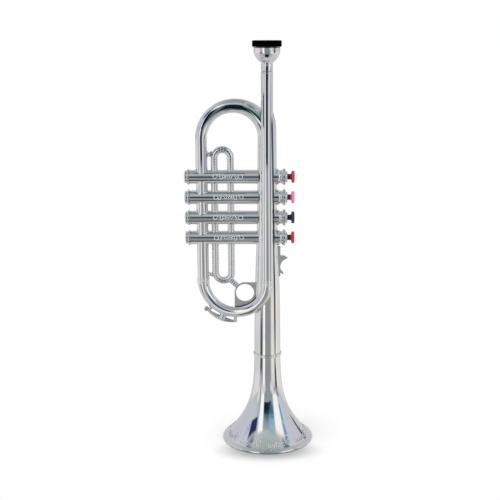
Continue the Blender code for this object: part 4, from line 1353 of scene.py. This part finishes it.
STUDIO_FRONT = (
    (-88, (206, 206, 206)), (-66, (184, 186, 186)), (-44, (140, 143, 142)), (-20, (147, 146, 145)),
    (-2, (148, 152, 156)), (22, (150, 162, 170)), (30, (182, 192, 193)), (46, (184, 193, 194)),
    (58, (156, 165, 164)), (72, (148, 155, 154)),
)
STUDIO_SIDE = (
    (-70, (196, 196, 197)), (-30, (208, 208, 207)), (-14, (206, 206, 206)), (-4, (194, 195, 202)),
    (20, (196, 198, 209)), (44, (204, 203, 215)), (66, (152, 158, 158)),
)
STUDIO_BACK = (
    (-60, (190, 190, 190)), (-8, (206, 207, 208)), (20, (200, 200, 203)), (44, (182, 185, 186)),
    (72, (142, 148, 148)),
)
STUDIO_CARDS = (
    # name, left, right, low, high, softness, swatch
    ("low_line_left", -24, -4, -62, -44, 1, (8, 16, 10)),
    ("low_line", -4, -1.8, -60, -44, 1, (112, 118, 114)),
    ("low_line_right", -1.8, 16, -68, -50, 1, (48, 50, 50)),
    ("left_pale_low", -124, -68, -17, -6, 2, (224, 222, 219)),
    ("left_box_low", -40, -20, -40, -20, 3, (208, 214, 211)),
    ("left_low_strip", -64, -47, -28, -15.5, 1.5, (58, 78, 82)),
    ("left_thin_strip", -57, -49, -8, -1, 2, (166, 168, 172)),
    ("left_mid", -47, -15, -10, -3, 2, (212, 213, 218)),
    ("left_pale", -67, -58, -8, 4, 3, (230, 230, 233)),
    ("left_fringe", -92, -76, 25, 34, 3, (176, 180, 212)),
    ("navy_patch", -77, -50, 25, 41, 2, (34, 50, 96)),
    ("left_grey_patch", -76, -56, 43, 50, 3, (120, 130, 140)),
    ("left_box_under", -38, -20, -20, -9, 2, (252, 255, 255)),
    ("left_box", -43, -23, -3, 45, 3, (255, 255, 255)),
    ("right_mid", 22, 45, -11, -3, 3, (216, 218, 224)),
    ("right_mid_shade", 50, 80, -11, -6, 2, (146, 145, 152)),
    ("right_low_strip", 65, 80, -18, -9, 2, (46, 48, 46)),
    ("right_dark_strip", 67, 84, -6, -2, 2, (116, 124, 133)),
    ("right_pale_low", 83, 100, -24, -10, 4, (234, 234, 229)),
    ("right_pale_side", 100, 142, -24, -8, 4, (222, 222, 218)),
    ("right_cyan", 78, 92, -2, 36, 4, (184, 208, 218)),
    ("right_blue_line", 72, 80, 6, 26, 2, (112, 154, 174)),
    ("right_blue_patch", 67, 80, 28, 42, 3, (128, 156, 174)),
    ("right_teal", 58, 76, 41, 50, 3, (60, 100, 110)),
    ("right_seam_shade", 128, 136, 3, 16, 1.5, (90, 92, 96)),
    ("front_teal_low", 9, 26, 7, 13, 1.5, (58, 104, 124)),
    ("front_teal", 9, 33, 12, 25, 2, (60, 113, 146)),
    ("front_teal_mid", 9, 34, 25, 31, 2, (94, 139, 166)),
    ("front_teal_pale", 9, 35, 31, 40, 3, (144, 174, 193)),
    ("front_teal_top", 7, 36, 40, 48, 3, (156, 177, 186)),
    ("right_box_low", 32, 62, -30, -10, 6, (228, 228, 223)),
    ("right_box", 37, 69, -3, 44, 4, (252, 248, 247)),
)
# the painted shadow where the bell meets the floor, darkening the floor's colour on top of the real shadow
CONTACT_SHAPE = Vector((1.0, 2.0, 1.0))
CONTACT_OFFSET = Vector((0.001, -0.0374, 0.0))
CONTACT_REACH = (0.064, 0.022)
CONTACT_DARKNESS = 0.48
PAPER_TINT = (0.985, 0.985, 0.985)
FLOOR_RADIUS = 6.0
FLOOR_DROP = 0.0002
KEY_PLACE = Vector((-0.7, -0.6, 1.5))
KEY_TARGET = Vector((0.0, 0.0, 0.1))
# height and swatch of each stop
FLAG_BLACK = (
    (0.17, (24, 32, 38)), (0.24, (22, 30, 36)), (0.32, (16, 34, 44)), (0.40, (44, 66, 74)),
    (0.46, (90, 116, 124)), (0.62, (138, 154, 172)), (0.90, (156, 170, 174)),
)
FLAG_CORE = (
    (0.17, (28, 36, 44)), (0.24, (24, 34, 44)), (0.33, (26, 40, 48)), (0.40, (44, 62, 68)),
    (0.46, (80, 102, 108)), (0.62, (126, 148, 162)), (0.90, (158, 174, 178)),
)
FLAG_EDGE = (
    (0.17, (34, 52, 64)), (0.30, (38, 70, 90)), (0.36, (52, 100, 128)), (0.46, (94, 138, 165)),
    (0.62, (143, 175, 194)), (0.90, (156, 174, 184)),
)
BOW_DARK = ((0.331, (10, 22, 28)), (0.370, (16, 34, 42)))
BOW_PALE = ((0.331, (66, 88, 100)), (0.370, (108, 132, 138)))
CUP_TONES = (
    (0.380, (18, 24, 28)), (0.3940, (14, 20, 22)), (0.3965, (112, 126, 120)), (0.405, (124, 138, 132)),
    (0.4145, (136, 148, 144)),
)
# glowing cards hidden from the camera, seen only in the plating's reflections
STUDIO_FLAGS = (
    # name, distance in front, left, right, low, high, softness of these four, raggedness and its scale,
    # borders between columns, columns
    (
        "studio_flag", 0.86, -0.31, 0.30, 0.17, 0.90, (0.03, 0.05, 0.02, 0.12), 0.07, 9.0,
        ((-0.16, -0.09), (0.10, 0.17)), (FLAG_BLACK, FLAG_CORE, FLAG_EDGE),
    ),
    (
        "bow_flag", 0.03, -0.063, -0.003, 0.331, 0.370, (0.003, 0.004, 0.003, 0.006), 0.003, 90.0,
        ((-0.044, -0.038), (-0.032, -0.026)), (BOW_DARK, BOW_PALE, BOW_DARK),
    ),
    (
        "cup_flag", 0.036, 0.0112, 0.0268, 0.380, 0.4145, (0.002, 0.002, 0.002, 0.001), 0.001, 200.0,
        (), (CUP_TONES,),
    ),
)


def banded(tree, value, stops, low, high, blend="LINEAR"):
    """Colour by a value, through swatches at given levels."""
    ramp = made(tree, "ShaderNodeValToRGB", {"Fac": ramped(tree, value, low, high, "LINEAR")})
    ramp.color_ramp.interpolation = blend
    elements = ramp.color_ramp.elements
    while len(elements) < len(stops):
        elements.new(0.5)
    for element, (level, swatch) in zip(elements, stops):
        element.position = (level - low) / (high - low)
        element.color = tone(*swatch)
    return ramp.outputs["Color"]


def build_world(settings):
    """Studio surroundings: a white backdrop for the camera, soft cards and gaps for the bright plating."""
    world = bpy.data.worlds.new("studio")
    bpy.context.scene.world = world
    world.use_nodes = True
    tree = world.node_tree
    tree.nodes.clear()
    parts = parted(tree, tree.nodes.new("ShaderNodeTexCoord").outputs["Generated"])
    turn = figured(tree, "ARCTAN2", parts["X"], product(tree, parts["Y"], -1.0))
    azimuth = figured(tree, "DEGREES", turn)
    elevation = figured(tree, "DEGREES", figured(tree, "ARCSINE", parts["Z"]))
    away = figured(tree, "ABSOLUTE", azimuth)
    rooms = (STUDIO_FRONT, STUDIO_SIDE, STUDIO_BACK)
    front, side, back = [banded(tree, elevation, stops, -90.0, 90.0, "B_SPLINE") for stops in rooms]
    picture = mixed(tree, ramped(tree, away, 32.0, 76.0), front, side)
    picture = mixed(tree, ramped(tree, away, 120.0, 172.0), picture, back)
    cards = card_group()
    for name, left, right, low, high, soft, swatch in STUDIO_CARDS:
        card = made(tree, "ShaderNodeGroup", {
            "Azimuth": azimuth, "Elevation": elevation, "Left": left, "Right": right, "Low": low,
            "High": high, "Soft": soft,
        }, node_tree=cards, name=name)
        picture = mixed(tree, card.outputs["Mask"], picture, tone(*swatch))
    light = tree.nodes.new("ShaderNodeLightPath").outputs
    plain = (settings.fill, settings.fill, settings.fill, 1.0)
    for_metal = mixed(tree, light["Is Glossy Ray"], plain, picture)
    backdrop = figured(tree, "MAXIMUM", light["Is Camera Ray"], light["Is Transmission Ray"])
    seen = mixed(tree, backdrop, for_metal, WHITE)
    background = made(tree, "ShaderNodeBackground", {"Color": seen, "Strength": 1.0})
    made(tree, "ShaderNodeOutputWorld", {"Surface": background.outputs[0]})


def blank_material(name):
    """Material with an empty tree, and its place on the object."""
    material = bpy.data.materials.new(name)
    material.use_nodes = True
    material.node_tree.nodes.clear()
    return material, material.node_tree, placed(material.node_tree)


def end_material(tree, factor, first, second):
    """Close a material's tree with a mix of two shaders."""
    both = made(tree, "ShaderNodeMixShader", {0: factor, 1: first.outputs[0], 2: second.outputs[0]})
    made(tree, "ShaderNodeOutputMaterial", {"Surface": both.outputs[0]})


def floor_material(settings):
    """Pale floor that meets the white backdrop for the camera, keeps the real shadow and has a contact
    shadow painted round the bell's foot.
    """
    material, tree, place = blank_material("studio_floor")
    paper = noised(tree, place, 220.0, 4.0)["Fac"]
    surface = mixed(tree, paper, (*settings.floor_colour, 1.0), tinted(settings.floor_colour, PAPER_TINT))
    # painted shadow round the bell's foot, darkening the floor's colour
    squashed = measured(tree, "MULTIPLY", place, CONTACT_SHAPE)[0]
    near = measured(tree, "DISTANCE", squashed, (AXIS + CONTACT_OFFSET) * CONTACT_SHAPE)["Value"]
    shade = product(tree, ramped(tree, near, *CONTACT_REACH), CONTACT_DARKNESS)
    matt = made(tree, "ShaderNodeBsdfDiffuse", {"Color": mixed(tree, shade, surface, BLACK)})
    distance = measured(tree, "DISTANCE", place, AXIS + FRONT * 0.03)["Value"]
    far = ramped(tree, distance, settings.floor_reach * 0.55, settings.floor_reach)
    end_material(tree, far, matt, made(tree, "ShaderNodeEmission", {"Color": WHITE}))
    return material


def flag_material(name, left, right, low, high, soft, sway, scale, borders, columns):
    """Flag that glows in columns of colour by height, with soft ragged edges; only the plating's reflections
    show it.
    """
    material, tree, place = blank_material(name)
    ragged = figured(tree, "MULTIPLY_ADD", noised(tree, place, scale, 2.0)["Fac"], sway, -sway / 2)
    parts = parted(tree, place)
    across = figured(tree, "ADD", parts["X"], ragged)
    height = figured(tree, "ADD", parts["Z"], product(tree, ragged, 0.3))
    shown, *others = [banded(tree, height, stops, low, high) for stops in columns]
    for border, other in zip(borders, others):
        shown = mixed(tree, ramped(tree, across, *border), shown, other)
    sides = between(tree, across, ((left, left + soft[0]), (right, right - soft[1])))
    ends = between(tree, height, ((low, low + soft[2]), (high, high - soft[3])))
    clear = tree.nodes.new("ShaderNodeBsdfTransparent")
    end_material(tree, product(tree, sides, ends), clear, made(tree, "ShaderNodeEmission", {"Color": shown}))
    return material


def add_card(name, corners, material):
    """Add a flat card that only the plating sees."""
    shape = bmesh.new()
    shape.faces.new([shape.verts.new(corner) for corner in corners])
    card = meshed(name, shape, material)
    card.visible_camera = False
    card.visible_diffuse = False
    card.visible_transmission = False
    card.visible_shadow = False


class TRUMPET_OT_stage(bpy.types.Operator):
    """Set up the floor, the studio light and the camera"""

    bl_idname = "trumpet.stage"
    bl_label = "Stage"

    def execute(self, context):
        settings = context.scene.trumpet_studio
        build_world(settings)
        shape = bmesh.new()
        spot = Matrix.Translation(AXIS)
        bmesh.ops.create_circle(shape, cap_ends=True, radius=FLOOR_RADIUS, segments=96, matrix=spot)
        floor = meshed("studio_floor", shape, floor_material(settings))
        floor.location.z = -FLOOR_DROP
        floor.visible_glossy = False

        for name, away, left, right, low, high, *look in STUDIO_FLAGS:
            corners = ((left, -away, low), (right, -away, low), (right, -away, high), (left, -away, high))
            add_card(name, corners, flag_material(name, left, right, low, high, *look))

        lamp = bpy.data.lights.new("soft_key", "AREA")
        lamp.shape = "RECTANGLE"
        lamp.size = 1.2
        lamp.size_y = 1.0
        lamp.energy = settings.key_power
        key = linked("soft_key", lamp)
        key.location = KEY_PLACE
        key.rotation_euler = (KEY_TARGET - KEY_PLACE).to_track_quat("-Z", "Y").to_euler()
        key.visible_glossy = False

        lens = bpy.data.cameras.new("photo_view")
        lens.lens = settings.lens
        lens.sensor_width = 36.0
        lens.shift_x = settings.shift
        lens.clip_start = 0.05
        camera = linked("photo_view", lens)
        back = settings.distance * Vector((0.0, -math.cos(settings.pitch), math.sin(settings.pitch)))
        turn = (-back).to_track_quat("-Z", "Y").to_matrix() @ Matrix.Rotation(settings.roll, 3, "Z")
        camera.location = at(z=settings.target_height) + back
        camera.rotation_euler = turn.to_euler()
        context.scene.camera = camera
        context.scene.view_settings.view_transform = "Standard"
        return {"FINISHED"}


GROUPS = (
    ("trumpet_bell", TRUMPET_PG_bell), ("trumpet_crooks", TRUMPET_PG_crooks),
    ("trumpet_mouthpiece", TRUMPET_PG_mouthpiece), ("trumpet_valves", TRUMPET_PG_valves),
    ("trumpet_fittings", TRUMPET_PG_fittings), ("trumpet_ornament", TRUMPET_PG_ornament),
    ("trumpet_finishes", TRUMPET_PG_finishes), ("trumpet_studio", TRUMPET_PG_studio),
)
OPERATORS = (
    TRUMPET_OT_bell, TRUMPET_OT_crooks, TRUMPET_OT_mouthpiece, TRUMPET_OT_valves, TRUMPET_OT_buttons,
    TRUMPET_OT_slide, TRUMPET_OT_fittings, TRUMPET_OT_ornament, TRUMPET_OT_springs, TRUMPET_OT_inner_parts,
    TRUMPET_OT_stage,
)


class TRUMPET_PT_panel(bpy.types.Panel):
    """Sizes, colours and steps of the toy trumpet"""

    bl_label = "Toy trumpet"
    bl_idname = "TRUMPET_PT_panel"
    bl_space_type = "VIEW_3D"
    bl_region_type = "UI"
    bl_category = "Trumpet"

    def draw(self, context):
        for attribute, group in GROUPS:
            box = self.layout.box()
            box.label(text=group.__doc__)
            for key in group.__annotations__:
                box.prop(getattr(context.scene, attribute), key)
        for operator in OPERATORS:
            self.layout.operator(operator.bl_idname)


def register():
    """Register the groups, operators and panel."""
    for attribute, group in GROUPS:
        bpy.utils.register_class(group)
        setattr(bpy.types.Scene, attribute, PointerProperty(type=group))
    for operator in OPERATORS:
        bpy.utils.register_class(operator)
    bpy.utils.register_class(TRUMPET_PT_panel)


def unregister():
    """Take the panel, operators and groups away again."""
    bpy.utils.unregister_class(TRUMPET_PT_panel)
    for operator in reversed(OPERATORS):
        bpy.utils.unregister_class(operator)
    for attribute, group in reversed(GROUPS):
        delattr(bpy.types.Scene, attribute)
        bpy.utils.unregister_class(group)


def main():
    """Make the dressed trumpet, piece by piece."""
    register()
    bpy.ops.trumpet.bell()
    bpy.ops.trumpet.crooks()
    bpy.ops.trumpet.mouthpiece()
    bpy.ops.trumpet.valves()
    bpy.ops.trumpet.buttons()
    bpy.ops.trumpet.slide()
    bpy.ops.trumpet.fittings()
    bpy.ops.trumpet.ornament()
    bpy.ops.trumpet.springs()
    bpy.ops.trumpet.inner_parts()
    bpy.ops.trumpet.stage()


if __name__ == "__main__":
    main()
